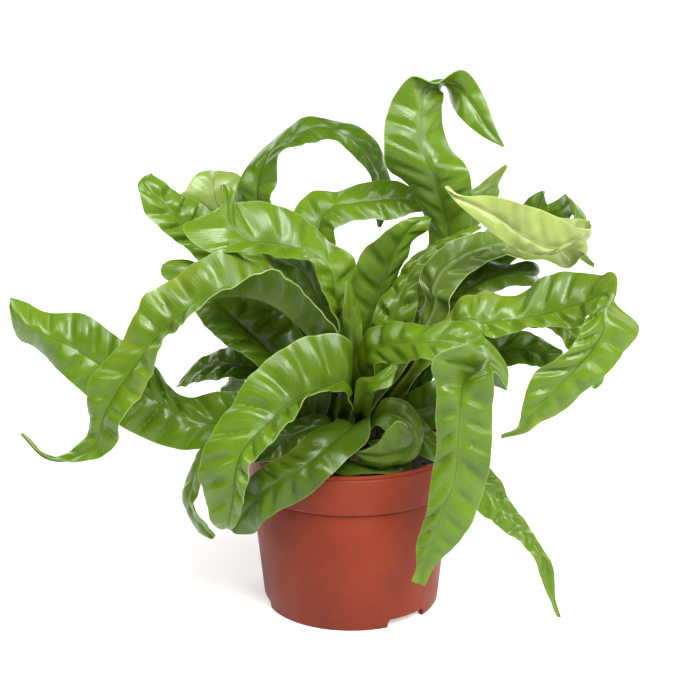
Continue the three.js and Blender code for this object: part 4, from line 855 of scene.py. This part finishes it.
def leaf_material(name, colour, gloss, pale_share, ripe_start, young=None, turn=(0, 1)):
    """Glossy blade with a pale rib and edge, fine slanted veins, soft tone patches and painted
    shade towards the stalk.

    The blade's own map runs across from 0 to 1, with the rib at 0.5, and along in
    tenths of a metre. A blade that changes colour goes from young to colour over turn."""
    material, tree, shader = new_material(name, gloss)
    pale = [min(1, c * 1.25 + 0.05) for c in colour]
    deep = [c * 0.74 for c in colour]
    light = [min(1, c * 1.12) for c in colour]
    place = tree.nodes.new("ShaderNodeTexCoord").outputs["UV"]
    split = tree.nodes.new("ShaderNodeSeparateXYZ")
    tree.links.new(place, split.inputs[0])
    across, along = split.outputs[0], split.outputs[1]
    side = maths(tree, "MULTIPLY", maths(tree, "ABSOLUTE", maths(tree, "SUBTRACT", across, 0.5)), 2)
    patches = clouds(tree, scale=24, detail=3, low=0.36, high=0.66)
    base = blend_colours(tree, patches, deep, list(colour))
    spots = clouds(tree, scale=75, detail=4, low=0.5, high=0.75, most=0.6)
    base = blend_colours(tree, spots, base, light)
    if young:
        grown = remap(tree, along, *turn)
        young_deep = [c * 0.74 for c in young]
        base = blend_colours(tree, grown, blend_colours(tree, patches, young_deep, young), base)
    # Painted shade: the colour darkens towards the stalk, standing in for the shade at the crown
    painted_stalk_shade = remap(tree, along, STALK_SHADE_START, STALK_SHADE_END, STALK_SHADE_SHARE, 0)
    base = blend_colours(tree, painted_stalk_shade, base, [c * 0.3 for c in colour])
    ripe = clouds(tree, scale=17, detail=2, low=ripe_start, high=ripe_start + 0.2, most=0.6)
    ripe = maths(tree, "MULTIPLY", ripe, maths(tree, "POWER", side, 2))
    base = blend_colours(tree, ripe, base, RIPE_COLOUR)
    slanted = maths(tree, "SUBTRACT", along, maths(tree, "MULTIPLY", side, VEIN_SLANT))
    wobble = maths(tree, "MULTIPLY", cloud(tree, 45, 2), 0.03)
    wave = maths(tree, "SINE", maths(
        tree, "MULTIPLY", maths(tree, "ADD", slanted, wobble), 2 * math.pi / FINE_VEIN_SPACING))
    vein = remap(tree, wave, 0.2, 1.0, 0, 0.04)
    veined = blend_colours(tree, vein, base, pale)
    rib = remap(tree, side, *RIB_BAND, pale_share, 0)
    edge = remap(tree, side, *EDGE_BAND, 0, 0.6)
    lined = blend_colours(tree, maths(tree, "MAXIMUM", rib, edge), veined, pale)
    groove = remap(tree, side, *GROOVE_BAND, 0.85, 0)
    marked = blend_colours(tree, groove, lined, [c * 0.45 for c in colour])
    tree.links.new(marked, shader.inputs["Base Color"])
    shine = clouds(tree, scale=70, detail=4, low=0.3, high=0.7,
                   least=gloss - 0.05, most=gloss + 0.08)
    tree.links.new(shine, shader.inputs["Roughness"])
    height = maths(tree, "ADD", maths(tree, "MULTIPLY", wave, 0.3), cloud(tree, 420, 4))
    roughen(tree, shader, height, 0.14, 0.0005)
    shader.inputs["Specular IOR Level"].default_value = MIRROR[1]
    mirror = remap(tree, along, STALK_SHADE_START, STALK_SHADE_END, *MIRROR)
    tree.links.new(mirror, shader.inputs["Specular IOR Level"])
    coat = remap(tree, along, STALK_SHADE_START, STALK_SHADE_END, *COAT)
    tree.links.new(coat, shader.inputs["Coat Weight"])
    shader.inputs["Coat Roughness"].default_value = 0.2
    shader.inputs["Subsurface Weight"].default_value = 0.12
    shader.inputs["Subsurface Radius"].default_value = (0.4, 1.0, 0.1)
    shader.inputs["Subsurface Scale"].default_value = 0.003
    return material


# The pot

def make_pot(sizes):
    """The moulded shell with its band, lip groove, foot skirt, hub and drain holes."""
    rim = sizes.rim_radius
    top = sizes.height
    wall = sizes.wall
    foot = sizes.foot_radius
    band = top - BAND_HEIGHT * MM
    body = rim - BAND_STEP * MM
    floor = FLOOR_HEIGHT * MM
    hub = HUB_RADIUS * MM

    def body_radius(height):
        return foot + (body - foot) * height / band

    profile = [
        (hub, floor + wall),
        (hub * 4, floor + wall),
        (body_radius(floor + wall) - wall, floor + wall),
        (body_radius(band * 0.5) - wall, band * 0.5),
        (body - wall, band),
        (rim - wall, band + wall),
        (rim - wall, top - LIP_ROUND_DOWN * MM),
        (rim - wall + LIP_ROUND_OUT * MM, top),
    ]
    profile += [(rim - inwards * MM, top - down * MM) for inwards, down in LIP_OUTLINE]
    profile += [(rim - inwards * MM, band + up * MM) for inwards, up in BAND_OUTLINE]
    profile += [(body - inwards * MM, band + up * MM) for inwards, up in STEP_OUTLINE]
    profile += [
        (body_radius(band - STEP_EASE * MM), band - STEP_EASE * MM),
        (body_radius(band * 0.5), band * 0.5),
        (body_radius(FOOT_EASE * MM), FOOT_EASE * MM),
        (foot - FOOT_ROUND * MM, 0),
        (foot - 1.5 * wall, 0),
        (foot - 2 * wall, FOOT_INNER_LIFT * MM),
        (body_radius(floor) - 2 * wall, floor),
        (hub + HUB_TAPER * MM, floor),
        (hub, HUB_ROUND * MM),
        (hub - HUB_ROUND * MM, 0),
    ]
    pot = turned("plastic_pot", profile, POT_SIDES)
    for turn in FOOT_GAP_TURNS:
        width = 2 * foot * math.sin(math.radians(FOOT_GAP_ANGLE / 2))
        cutter = add(bpy.ops.mesh.primitive_cube_add, "foot_gap", size=1)
        cutter.scale = (4 * wall + FOOT_GAP_MARGIN * MM, width, 2 * FOOT_GAP_HEIGHT * MM)
        fix_place(cutter)
        bpy.ops.object.mode_set(mode="EDIT")
        bpy.ops.mesh.select_all(action="SELECT")
        bpy.ops.mesh.bevel(offset=FOOT_GAP_ROUND * MM, segments=4, affect="EDGES")
        bpy.ops.object.mode_set(mode="OBJECT")
        cutter.location = around(turn, foot - wall, 0)
        cutter.rotation_euler.z = math.radians(turn)
        fix_place(cutter)
        cut(pot, cutter)
    for hole in range(DRAIN_COUNT):
        place = around(hole * 360 / DRAIN_COUNT, DRAIN_RING * MM, floor + wall / 2)
        cutter = add(bpy.ops.mesh.primitive_cylinder_add, "drain_hole", vertices=DRAIN_SIDES,
                     radius=DRAIN_RADIUS * MM, depth=3 * wall, location=place)
        fix_place(cutter)
        cut(pot, cutter)
    smooth(pot, 32)
    pot.data.materials.clear()
    pot.data.materials.append(plastic_material(sizes.colour))
    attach(pot, "root")
    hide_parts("pot")


# The soil and the crown

def scatter_bits(host_name, count, top, radius, size, draw, flat):
    """Small crumbs, each a copy of one lump with its own size and turn."""
    bits = []
    lump = add(bpy.ops.mesh.primitive_ico_sphere_add, host_name, subdivisions=1, radius=1)
    shapes = [vertex.co.copy() for vertex in lump.data.vertices]
    for number in range(count):
        bit = lump if number == 0 else lump.copy()
        if number:
            bit.data = lump.data.copy()
            bpy.context.collection.objects.link(bit)
        out = radius * math.sqrt(draw.random())
        place = around(draw.uniform(0, 360), out, 0)
        place.z = top(out)
        lengths = [size * draw.uniform(0.4, 1) for _ in range(3)]
        lengths[2] *= flat
        spin = draw.uniform(0, math.pi)
        for vertex, shape in zip(bit.data.vertices, shapes):
            stretched = Vector(s * length for s, length in zip(shape, lengths))
            turned_x = stretched.x * math.cos(spin) - stretched.y * math.sin(spin)
            turned_y = stretched.x * math.sin(spin) + stretched.y * math.cos(spin)
            vertex.co = place + Vector((turned_x, turned_y, stretched.z))
        bits.append(bit)
    return bits


def make_soil(sizes, pot_sizes):
    """The potting soil, uneven on top and strewn with crumbs of bark and peat."""
    draw = random.Random(SEED)
    wall = pot_sizes.wall + CLEARANCE * MM
    floor = FLOOR_HEIGHT * MM + pot_sizes.wall + CLEARANCE * MM
    foot = pot_sizes.foot_radius
    body = pot_sizes.rim_radius - BAND_STEP * MM
    band = pot_sizes.height - BAND_HEIGHT * MM
    top = SOIL_TOP * MM
    low_radius = foot + (body - foot) * floor / band - wall
    profile = [(low_radius * 0.5, floor), (low_radius, floor), (body - wall, band)]
    profile.append((body - wall, top - 2 * MM))
    for out in SOIL_RINGS:
        profile.append((out * MM, top - 1 * MM + SOIL_DOME * MM * (1 - out / SOIL_RADIUS)))
    soil = turned("soil_bed", profile, SOIL_SIDES)
    for vertex in soil.data.vertices:
        if vertex.co.z > top - 1.5 * MM:
            vertex.co.z += SOIL_ROUGHNESS * MM * noise.noise(vertex.co * 190) - 0.4 * MM

    def surface(out):
        return top + CRUMB_DOME * MM * (1 - out / (SOIL_RADIUS * MM))

    bits = scatter_bits("soil_crumb", sizes.crumbs, surface, CRUMB_REACH * MM,
                        CRUMB_SIZE * MM, draw, CRUMB_FLATNESS)
    join(soil, bits)
    smooth(soil, 40)
    soil.data.materials.clear()
    soil.data.materials.append(soil_material(sizes.soil_colour))
    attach(soil, "root")
    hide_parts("soil")


def crown_height(out):
    """Height of the crown's dome, in millimetres, so far from the axis."""
    share = out / CROWN_RADIUS
    return CROWN_EDGE + (CROWN_TOP - CROWN_EDGE) * (1 - share * share)


def make_crown(sizes):
    """The fibrous crown that the stalks stand in, covered with brown scales."""
    draw = random.Random(SEED + 1)
    profile = [(out * MM, height * MM) for out, height in CROWN_FOOT]
    profile += [(out * MM, crown_height(out) * MM) for out in CROWN_RINGS]
    crown = turned("fibrous_crown", profile, CROWN_SIDES)
    for vertex in crown.data.vertices:
        if vertex.co.z > CROWN_ROUGH_FROM * MM:
            vertex.co.z += CROWN_ROUGHNESS * MM * noise.noise(vertex.co * 260)
    scale = add(bpy.ops.mesh.primitive_cone_add, "crown_scale", vertices=5,
                radius1=1, radius2=0.1, depth=1)
    shapes = [vertex.co.copy() for vertex in scale.data.vertices]
    scales = []
    for number in range(sizes.scales):
        bit = scale if number == 0 else scale.copy()
        if number:
            bit.data = scale.data.copy()
            bpy.context.collection.objects.link(bit)
        out = FIBRE_REACH * math.sqrt(draw.random())
        turn = draw.uniform(0, 360)
        place = around(turn, out * MM, crown_height(out) * MM)
        lean = math.radians(draw.uniform(*FIBRE_LEAN))
        outward = around(turn + draw.uniform(-FIBRE_TURN, FIBRE_TURN), 1, 0)
        axis = outward * math.sin(lean) + Vector((0, 0, math.cos(lean)))
        side = axis.cross(Vector((0, 0, 1))).normalized()
        front = side.cross(axis)
        length = draw.uniform(*FIBRE_LENGTH) * MM
        width = draw.uniform(*FIBRE_WIDTH) * MM
        for vertex, shape in zip(bit.data.vertices, shapes):
            flat = side * (shape.x * width) + front * (shape.y * width * 0.5)
            vertex.co = place + flat + axis * ((shape.z + 0.25) * length)
        scales.append(bit)
    join(crown, scales)
    smooth(crown, 40)
    crown.data.materials.clear()
    crown.data.materials.append(crown_material(sizes.crown_colour))
    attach(crown, "root")
    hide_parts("crown")


# The fronds

def stalk_foot(foot):
    """Where a stalk leaves the crown, and in which direction."""
    turn, out, lean = foot
    top = around(turn, out, crown_height(out))
    slope = math.radians(lean)
    direction = around(turn, math.sin(slope), math.cos(slope))
    return top, direction


def hermite(start, start_pull, end, end_pull, share):
    """A point on the smooth curve between two points with their pulls."""
    square = share * share
    cube = square * share
    return (start * (2 * cube - 3 * square + 1) + start_pull * (cube - 2 * square + share)
            + end * (3 * square - 2 * cube) + end_pull * (cube - square))


def pulls(line, start_pull):
    """The curve's pull at each listed point."""
    found = [start_pull]
    last = len(line) - 1
    for index in range(1, last + 1):
        share = 1.0 if index == last else 0.5
        found.append((line[min(index + 1, last)] - line[index - 1]) * share)
    return found


def leaf_rails(frond):
    """The midrib, left edge and right edge, as fine rows from the stalk's foot to the tip."""
    top, direction = stalk_foot(frond["foot"])
    rows = frond["rows"]
    rib, left, right = rows[0]
    side = right - left
    side = (side - direction * side.dot(direction)).normalized() * STALK_HALF_WIDTH
    start = top + direction * STALK_RISE
    foot = top - direction * STALK_DEPTH
    pull = direction * ((start - rib).length * STALK_PULL)
    lines = [[start + side * place] + [row[index] for row in rows]
             for index, place in enumerate(RAIL_SIDES)]
    slopes = [pulls(line, pull) for line in lines]
    rails = []
    for step in range(STALK_STEPS + 1):
        middle = foot.lerp(start, step / STALK_STEPS)
        rails.append([middle + side * place for place in RAIL_SIDES])
    for span in range(len(lines[0]) - 1):
        length = (lines[0][span] - lines[0][span + 1]).length
        steps = max(2, round(length / ROW_STEP))
        for step in range(1, steps + 1):
            share = step / steps
            rail = [hermite(line[span], slope[span], line[span + 1], slope[span + 1], share)
                    for line, slope in zip(lines, slopes)]
            if span == 0:
                spread = 1 + frond["spread"] * math.sin(math.pi * share)
                rail[1:] = [rail[0] + (edge - rail[0]) * spread for edge in rail[1:]]
            rails.append(rail)
    return rails


# Near the stalks the fronds crowd, so over this length the ridges only grow to full height
CROWDED_LENGTH = 80
RUFFLE_LENGTH = 23
RUFFLE_HEIGHT = 0.7
RIDGE_LENGTH = 13.5
RIDGE_HEIGHT = 1.9
RIDGE_SLANT = 0.5
RIDGE_SHARES = {"high_loop": 0.35, "tall_top": 0.4, "twisted_over": 0.6, "behind_spike": 0.4,
                "centre_top": 0.5, "furled_centre": 0.3, "yellow_fold": 0.6,
                "front_curl": 0.4, "pale_curl": 0.5, "dark_over_rim": 0.55, "along_rim": 0.4,
                "short_curl": 0.4, "inner_right": 0.6, "narrow_curl_left": 0.6,
                "small_dark_left": 0.5, "front_hanging": 0.75, "right_hanging": 0.75,
                "left_arch": 0.75, "upper_left_arch": 0.75, "dark_curl_right": 0.5,
                "far_right_point": 0.5, "rear_right": 0.5, "rear_left": 0.6,
                "spike_behind_yellow": 0.6}
GROOVE_DEPTH = 0.7
GROOVE_WIDTH = 1.5
# A slow noise that makes ruffles and ridges uneven: its scale along and across a blade, and
# how many radians it moves each of them
SWING_ALONG = 0.03
SWING_ACROSS = 0.12
RUFFLE_SWING = 2.5
RIDGE_SWING = 3.5
# The half width, in millimetres, from which ruffles and ridges reach full height
RUFFLE_FULL_WIDTH = 12
RIDGE_FULL_WIDTH = 10
RIDGE_OVERTONE = 0.4
RIDGE_NOISE = 0.6
RIDGE_NOISE_SCALE = 0.21
STRENGTH_NOISE = 0.5
STRENGTH_NOISE_SCALE = 0.02
# The ridges rise over this share of the half width, and fall by a share near the edge
RIDGE_RISE = 0.4
RIDGE_FALL = 0.6
RIDGE_FALL_START = 0.6
# Where in the noise each half of a blade reads its ridges
LEFT_HALF = 9
RIGHT_HALF = 14
EDGE_THINNING = 0.45
RIB_FALL = 0.6
STALK_EDGE = 0.03


def fine_lifts(height, ridge_height, length, reach, half_width, seed):
    """How far the edge ruffle and the cross ridges lift one spot of a blade.

    reach runs across the blade from -1 to 1."""
    side = abs(reach)
    lag = 0 if reach < 0 else EDGE_LAG
    half = LEFT_HALF if reach < 0 else RIGHT_HALF
    swing = noise.noise(seed + Vector((length * SWING_ALONG, reach * SWING_ACROSS, 0)))
    ruffle = math.sin(2 * math.pi * length / RUFFLE_LENGTH + lag + RUFFLE_SWING * swing)
    full = min(1, half_width / RUFFLE_FULL_WIDTH)
    ruffle_lift = height * RUFFLE_HEIGHT * ruffle * side ** 3 * full
    vein = length - RIDGE_SLANT * side * half_width
    turn = 2 * math.pi * vein / RIDGE_LENGTH + RIDGE_SWING * swing + lag
    ridge = math.sin(turn) + RIDGE_OVERTONE * math.sin(2 * turn + 1)
    ridge += RIDGE_NOISE * noise.noise(seed + Vector((vein * RIDGE_NOISE_SCALE, half, 0)))
    slow = noise.noise(seed + Vector((length * STRENGTH_NOISE_SCALE, half, 4)))
    strength = 1 + STRENGTH_NOISE * slow
    fall = ease((side - RIDGE_FALL_START) / (1 - RIDGE_FALL_START))
    body = ease(side / RIDGE_RISE) * (1 - RIDGE_FALL * fall)
    full = min(1, half_width / RIDGE_FULL_WIDTH)
    ridge_lift = height * ridge_height * strength * ridge * body * full
    return ruffle_lift, ridge_lift


def spot_thickness(reach, off_rib, bladed, thickness):
    """A spot's thickness, and how much of it stands above the rails."""
    stalk_thick = STALK_THICKNESS * math.sqrt(max(STALK_EDGE, 1 - reach * reach))
    rib_thick = (MIDRIB_THICKNESS - thickness) * math.exp(-off_rib * off_rib * RIB_FALL)
    blade_thick = thickness * (1 - EDGE_THINNING * abs(reach)) + rib_thick
    full = stalk_thick + (blade_thick - stalk_thick) * bladed
    above = stalk_thick / 2 + (thickness / 2 - stalk_thick / 2) * bladed
    return full, above


def leaf_grid(frond, wave_height, thickness):
    """For each row of the blade its points, thicknesses and length along the rib."""
    rails = leaf_rails(frond)
    last = len(rails) - 1
    lengths = [0.0]
    for before, after in zip(rails, rails[1:]):
        lengths.append(lengths[-1] + (after[0] - before[0]).length)
    total = lengths[-1]
    stalk_end = lengths[STALK_STEPS]
    seed = Vector((frond["phase"] * 37, frond["foot"][0], 5))
    ridge_height = RIDGE_HEIGHT * RIDGE_SHARES.get(frond["name"], 1)
    grid = []
    for index, (rib, left, right) in enumerate(rails):
        length = lengths[index]
        along = rails[min(index + 1, last)][0] - rails[max(index - 1, 0)][0]
        across = right - left
        upper = across.cross(along).normalized()
        bladed = ease((length - stalk_end) / BLADE_START)
        fade = bladed * math.sin(math.pi * min(1, length / total)) ** 0.5
        height = ease((length - stalk_end) / CROWDED_LENGTH) * fade
        angle = 2 * math.pi * length / WAVE_LENGTH + frond["phase"]
        arch = bladed * BLADE_ARCH * across.length * 0.5
        half_width = across.length / 2
        points, thick = [], []
        for column in range(LEAF_COLUMNS + 1):
            reach = 2 * column / LEAF_COLUMNS - 1
            side = abs(reach)
            edge = left if reach < 0 else right
            lag = 0 if reach < 0 else EDGE_LAG
            point = rib.lerp(edge, side)
            lift = fade * wave_height * math.sin(angle + lag) * side
            lift += arch * math.sin(math.pi * side)
            for fine_lift in fine_lifts(height, ridge_height, length, reach, half_width, seed):
                lift += fine_lift
            off_rib = side * half_width / GROOVE_WIDTH
            lift -= bladed * GROOVE_DEPTH * math.exp(-off_rib * off_rib)
            full, above = spot_thickness(reach, off_rib, bladed, thickness)
            points.append(point + upper * (lift + above))
            thick.append(full)
        grid.append((points, thick, length))
    return grid


def make_leaf(frond, sizes, materials):
    """One frond: a grid laid along its rails, thickened to a blade with rib and stalk."""
    grid = leaf_grid(frond, sizes.wave_height / MM, sizes.thickness / MM)
    rows = len(grid)
    name = "leaf_" + frond["name"]
    piece = add(bpy.ops.mesh.primitive_grid_add, name, size=2,
                x_subdivisions=LEAF_COLUMNS, y_subdivisions=rows - 1)
    mesh = piece.data
    most = max(max(thick) for _, thick, _ in grid)
    group = piece.vertex_groups.new(name="thickness")
    for vertex in mesh.vertices:
        column = round((vertex.co.x + 1) / 2 * LEAF_COLUMNS)
        row = round((vertex.co.y + 1) / 2 * (rows - 1))
        points, thick, _ = grid[row]
        vertex.co = points[column] * MM
        group.add([vertex.index], thick[column] / most, "REPLACE")
    lengths = [length for _, _, length in grid]
    for corner in mesh.uv_layers.active.data:
        row = round(corner.uv.y * (rows - 1))
        corner.uv = (corner.uv.x, lengths[row] / 100)
    mesh.materials.clear()
    for material in materials:
        mesh.materials.append(material)
    apply_modifier(piece, "Blade", "SOLIDIFY", thickness=most * MM, offset=-1,
                   vertex_group="thickness", thickness_vertex_group=0.02,
                   material_offset=1, material_offset_rim=2)
    piece.vertex_groups.clear()
    smooth(piece, 50)
    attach(piece, "root")
    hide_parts("frond_" + frond["name"])
    return piece


# The face, underside and edge of a blade: how much lighter each is than the leaf's own
# colour, its roughness and how pale its rib is. The underside's lower gain is painted shade.
LEAF_SIDES = {"": (1, 0, 0.31, 0.15), "_under": (0.8, 0.004, 0.4, 0.25),
              "_edge": (1.2, 0.02, 0.42, 0.5)}
# Where along its length, in tenths of a metre, a blade turns to its ripe colour
COLOUR_TURNS = {"yellow": (1.5, 1.85), "pale": (1.2, 1.5)}
# From what level of a soft cloud a blade's outer parts turn yellow: lower is more
RIPE_START = 0.58
RIPENING_START = 0.4


def leaf_set(sizes):
    """The materials of every finish, each with its face, underside and edge."""
    # The shaded finish is the green darkened as painted shade
    colours = {"green": sizes.green, "shaded": sizes.shaded, "yellow": sizes.yellow,
               "pale": sizes.pale, "ripening": sizes.green}
    found = {}
    for finish, colour in colours.items():
        sides = []
        for side, (gain, lift, gloss, pale_share) in LEAF_SIDES.items():
            name = "leaf_" + finish + side
            shade = [min(1, c * gain + lift) for c in colour]
            turn = COLOUR_TURNS.get(finish)
            young = [min(1, c * gain + lift) for c in sizes.green] if turn else None
            ripe = RIPENING_START if finish == "ripening" else RIPE_START
            sides.append(bpy.data.materials.get(name)
                         or leaf_material(name, shade, gloss, pale_share, ripe, young, turn))
        found[finish] = sides
    return found


def make_leaves(leaves, sizes):
    materials = leaf_set(sizes)
    for frond in leaves:
        piece = make_leaf(frond, sizes, materials[frond["finish"]])


# The stage

FLOOR_SIZE = 12
FLOOR_GLOW = 0.45
AIR_STRENGTH = 0.06
SUN_POWER = 4.85
SUN_SOFTNESS = math.radians(30)
SUN_DIRECTION = (-0.36, 0.6, -0.85)
# Each lamp's name, place, width and power, with all of them aimed at one point
LAMPS = (
    ("top_lamp", (-0.35, -0.55, 1.1), 0.8, 15),
    ("side_lamp", (1.0, -0.5, 0.7), 0.7, 9),
    ("back_left_lamp", (-0.9, 1.1, 0.6), 1.1, 12),
    ("back_right_lamp", (0.8, 1.2, 0.6), 1.1, 14),
)
LAMP_AIM = (0, 0, 0.15)
SENSOR_WIDTH = 36
VIEW_SHIFT = -0.0017
CLIP_START = 0.05


def floor_material(colour):
    material, tree, shader = new_material("floor_paper", 0.9)
    shade = clouds(tree, scale=3, detail=2, low=0.3, high=0.7)
    pale = [min(1, c * 1.02) for c in colour]
    tree.links.new(blend_colours(tree, shade, list(colour), pale), shader.inputs["Base Color"])
    shader.inputs["Emission Color"].default_value = (1, 1, 1, 1)
    shader.inputs["Emission Strength"].default_value = FLOOR_GLOW
    return material


def studio_air():
    """A weak even light all round, in front of a plain white background."""
    world = bpy.data.worlds.new("studio_air")
    world.use_nodes = True
    tree = world.node_tree
    air = tree.nodes["Background"]
    air.inputs["Color"].default_value = (1, 1, 1, 1)
    air.inputs["Strength"].default_value = AIR_STRENGTH
    white = tree.nodes.new("ShaderNodeBackground")
    white.inputs["Color"].default_value = (1, 1, 1, 1)
    seen_direct = tree.nodes.new("ShaderNodeLightPath")
    mix = tree.nodes.new("ShaderNodeMixShader")
    tree.links.new(seen_direct.outputs["Is Camera Ray"], mix.inputs[0])
    tree.links.new(air.outputs[0], mix.inputs[1])
    tree.links.new(white.outputs[0], mix.inputs[2])
    tree.links.new(mix.outputs[0], tree.nodes["World Output"].inputs["Surface"])
    return world


def area_light(name, place, width, power):
    light = bpy.data.lights.new(name, "AREA")
    light.energy = power
    light.size = width
    lamp = bpy.data.objects.new(name, light)
    bpy.context.collection.objects.link(lamp)
    lamp.location = place
    direction = Vector(LAMP_AIM) - Vector(place)
    lamp.rotation_euler = direction.to_track_quat("-Z", "Y").to_euler()


def make_stage(sizes):
    """A pale floor, soft studio lamps and the camera at the front view."""
    floor = add(bpy.ops.mesh.primitive_plane_add, "studio_floor", size=FLOOR_SIZE)
    floor.data.materials.append(floor_material(sizes.floor_colour))
    bpy.context.scene.world = studio_air()
    sun = bpy.data.lights.new("soft_sun", "SUN")
    sun.energy = SUN_POWER
    sun.angle = SUN_SOFTNESS
    lamp = bpy.data.objects.new("soft_sun", sun)
    bpy.context.collection.objects.link(lamp)
    lamp.rotation_euler = Vector(SUN_DIRECTION).to_track_quat("-Z", "Y").to_euler()
    for values in LAMPS:
        area_light(*values)
    bpy.context.scene.view_settings.view_transform = "Standard"
    camera_data = bpy.data.cameras.new("front_camera")
    camera_data.lens = sizes.lens
    camera_data.sensor_width = SENSOR_WIDTH
    camera_data.shift_x = VIEW_SHIFT
    camera_data.clip_start = CLIP_START
    camera = bpy.data.objects.new("front_camera", camera_data)
    bpy.context.collection.objects.link(camera)
    camera.location = (0, -sizes.distance, sizes.height)
    camera.rotation_euler = (math.pi / 2 - VIEW_TILT, 0, 0)
    bpy.context.scene.camera = camera


# Operators

class PLANT_OT_pot(bpy.types.Operator):
    """Build the plastic pot"""

    bl_idname = "plant.make_pot"
    bl_label = "Pot"

    def execute(self, context):
        make_pot(context.scene.pot_sizes)
        return {"FINISHED"}


class PLANT_OT_soil(bpy.types.Operator):
    """Fill the pot with soil"""

    bl_idname = "plant.make_soil"
    bl_label = "Soil"

    def execute(self, context):
        make_soil(context.scene.soil_sizes, context.scene.pot_sizes)
        return {"FINISHED"}


class PLANT_OT_crown(bpy.types.Operator):
    """Build the fibrous crown that the stalks stand in"""

    bl_idname = "plant.make_crown"
    bl_label = "Crown"

    def execute(self, context):
        make_crown(context.scene.soil_sizes)
        return {"FINISHED"}


class PLANT_OT_left_leaves(bpy.types.Operator):
    """Grow the fronds of the left side"""

    bl_idname = "plant.make_left_leaves"
    bl_label = "Left fronds"

    def execute(self, context):
        make_leaves(LEFT_LEAVES, context.scene.leaf_sizes)
        return {"FINISHED"}


class PLANT_OT_top_leaves(bpy.types.Operator):
    """Grow the fronds that stand up in the middle"""

    bl_idname = "plant.make_top_leaves"
    bl_label = "Upright fronds"

    def execute(self, context):
        make_leaves(TOP_LEAVES, context.scene.leaf_sizes)
        return {"FINISHED"}


class PLANT_OT_right_leaves(bpy.types.Operator):
    """Grow the fronds of the right side"""

    bl_idname = "plant.make_right_leaves"
    bl_label = "Right fronds"

    def execute(self, context):
        make_leaves(RIGHT_LEAVES, context.scene.leaf_sizes)
        return {"FINISHED"}


class PLANT_OT_front_leaves(bpy.types.Operator):
    """Grow the fronds that hang over the front of the pot"""

    bl_idname = "plant.make_front_leaves"
    bl_label = "Front fronds"

    def execute(self, context):
        make_leaves(FRONT_LEAVES, context.scene.leaf_sizes)
        return {"FINISHED"}


class PLANT_OT_rear_leaves(bpy.types.Operator):
    """Grow the fronds of the far side"""

    bl_idname = "plant.make_rear_leaves"
    bl_label = "Rear fronds"

    def execute(self, context):
        make_leaves(REAR_LEAVES, context.scene.leaf_sizes)
        return {"FINISHED"}


class PLANT_OT_stage(bpy.types.Operator):
    """Set up the floor, the lamps and the camera"""

    bl_idname = "plant.make_stage"
    bl_label = "Stage"

    def execute(self, context):
        make_stage(context.scene.stage_sizes)
        return {"FINISHED"}


STEPS = (
    PLANT_OT_stage,
    PLANT_OT_pot,
    PLANT_OT_soil,
    PLANT_OT_crown,
    PLANT_OT_left_leaves,
    PLANT_OT_top_leaves,
    PLANT_OT_right_leaves,
    PLANT_OT_front_leaves,
    PLANT_OT_rear_leaves,
)

GROUPS = {
    "pot_sizes": PotSizes,
    "leaf_sizes": LeafSizes,
    "soil_sizes": SoilSizes,
    "stage_sizes": StageSizes,
}


class PLANT_PT_panel(bpy.types.Panel):
    """The sidebar panel that lists the plant's pieces."""

    bl_idname = "PLANT_PT_panel"
    bl_label = "Potted fern"
    bl_space_type = "VIEW_3D"
    bl_region_type = "UI"
    bl_category = "Plant"

    def draw(self, context):
        for step in STEPS:
            self.layout.operator(step.bl_idname)
        for key, group in GROUPS.items():
            box = self.layout.box()
            for field in group.__annotations__:
                box.prop(getattr(context.scene, key), field)


def register():
    for group in GROUPS.values():
        bpy.utils.register_class(group)
    for key, group in GROUPS.items():
        setattr(bpy.types.Scene, key, PointerProperty(type=group))
    for step in STEPS:
        bpy.utils.register_class(step)
    bpy.utils.register_class(PLANT_PT_panel)


def unregister():
    bpy.utils.unregister_class(PLANT_PT_panel)
    for step in reversed(STEPS):
        bpy.utils.unregister_class(step)
    for key in GROUPS:
        delattr(bpy.types.Scene, key)
    for group in reversed(list(GROUPS.values())):
        bpy.utils.unregister_class(group)


def main():
    register()
    bpy.ops.plant.make_stage()
    bpy.ops.plant.make_pot()
    bpy.ops.plant.make_soil()
    bpy.ops.plant.make_crown()
    bpy.ops.plant.make_left_leaves()
    bpy.ops.plant.make_top_leaves()
    bpy.ops.plant.make_right_leaves()
    bpy.ops.plant.make_front_leaves()
    bpy.ops.plant.make_rear_leaves()


if __name__ == "__main__":
    main()
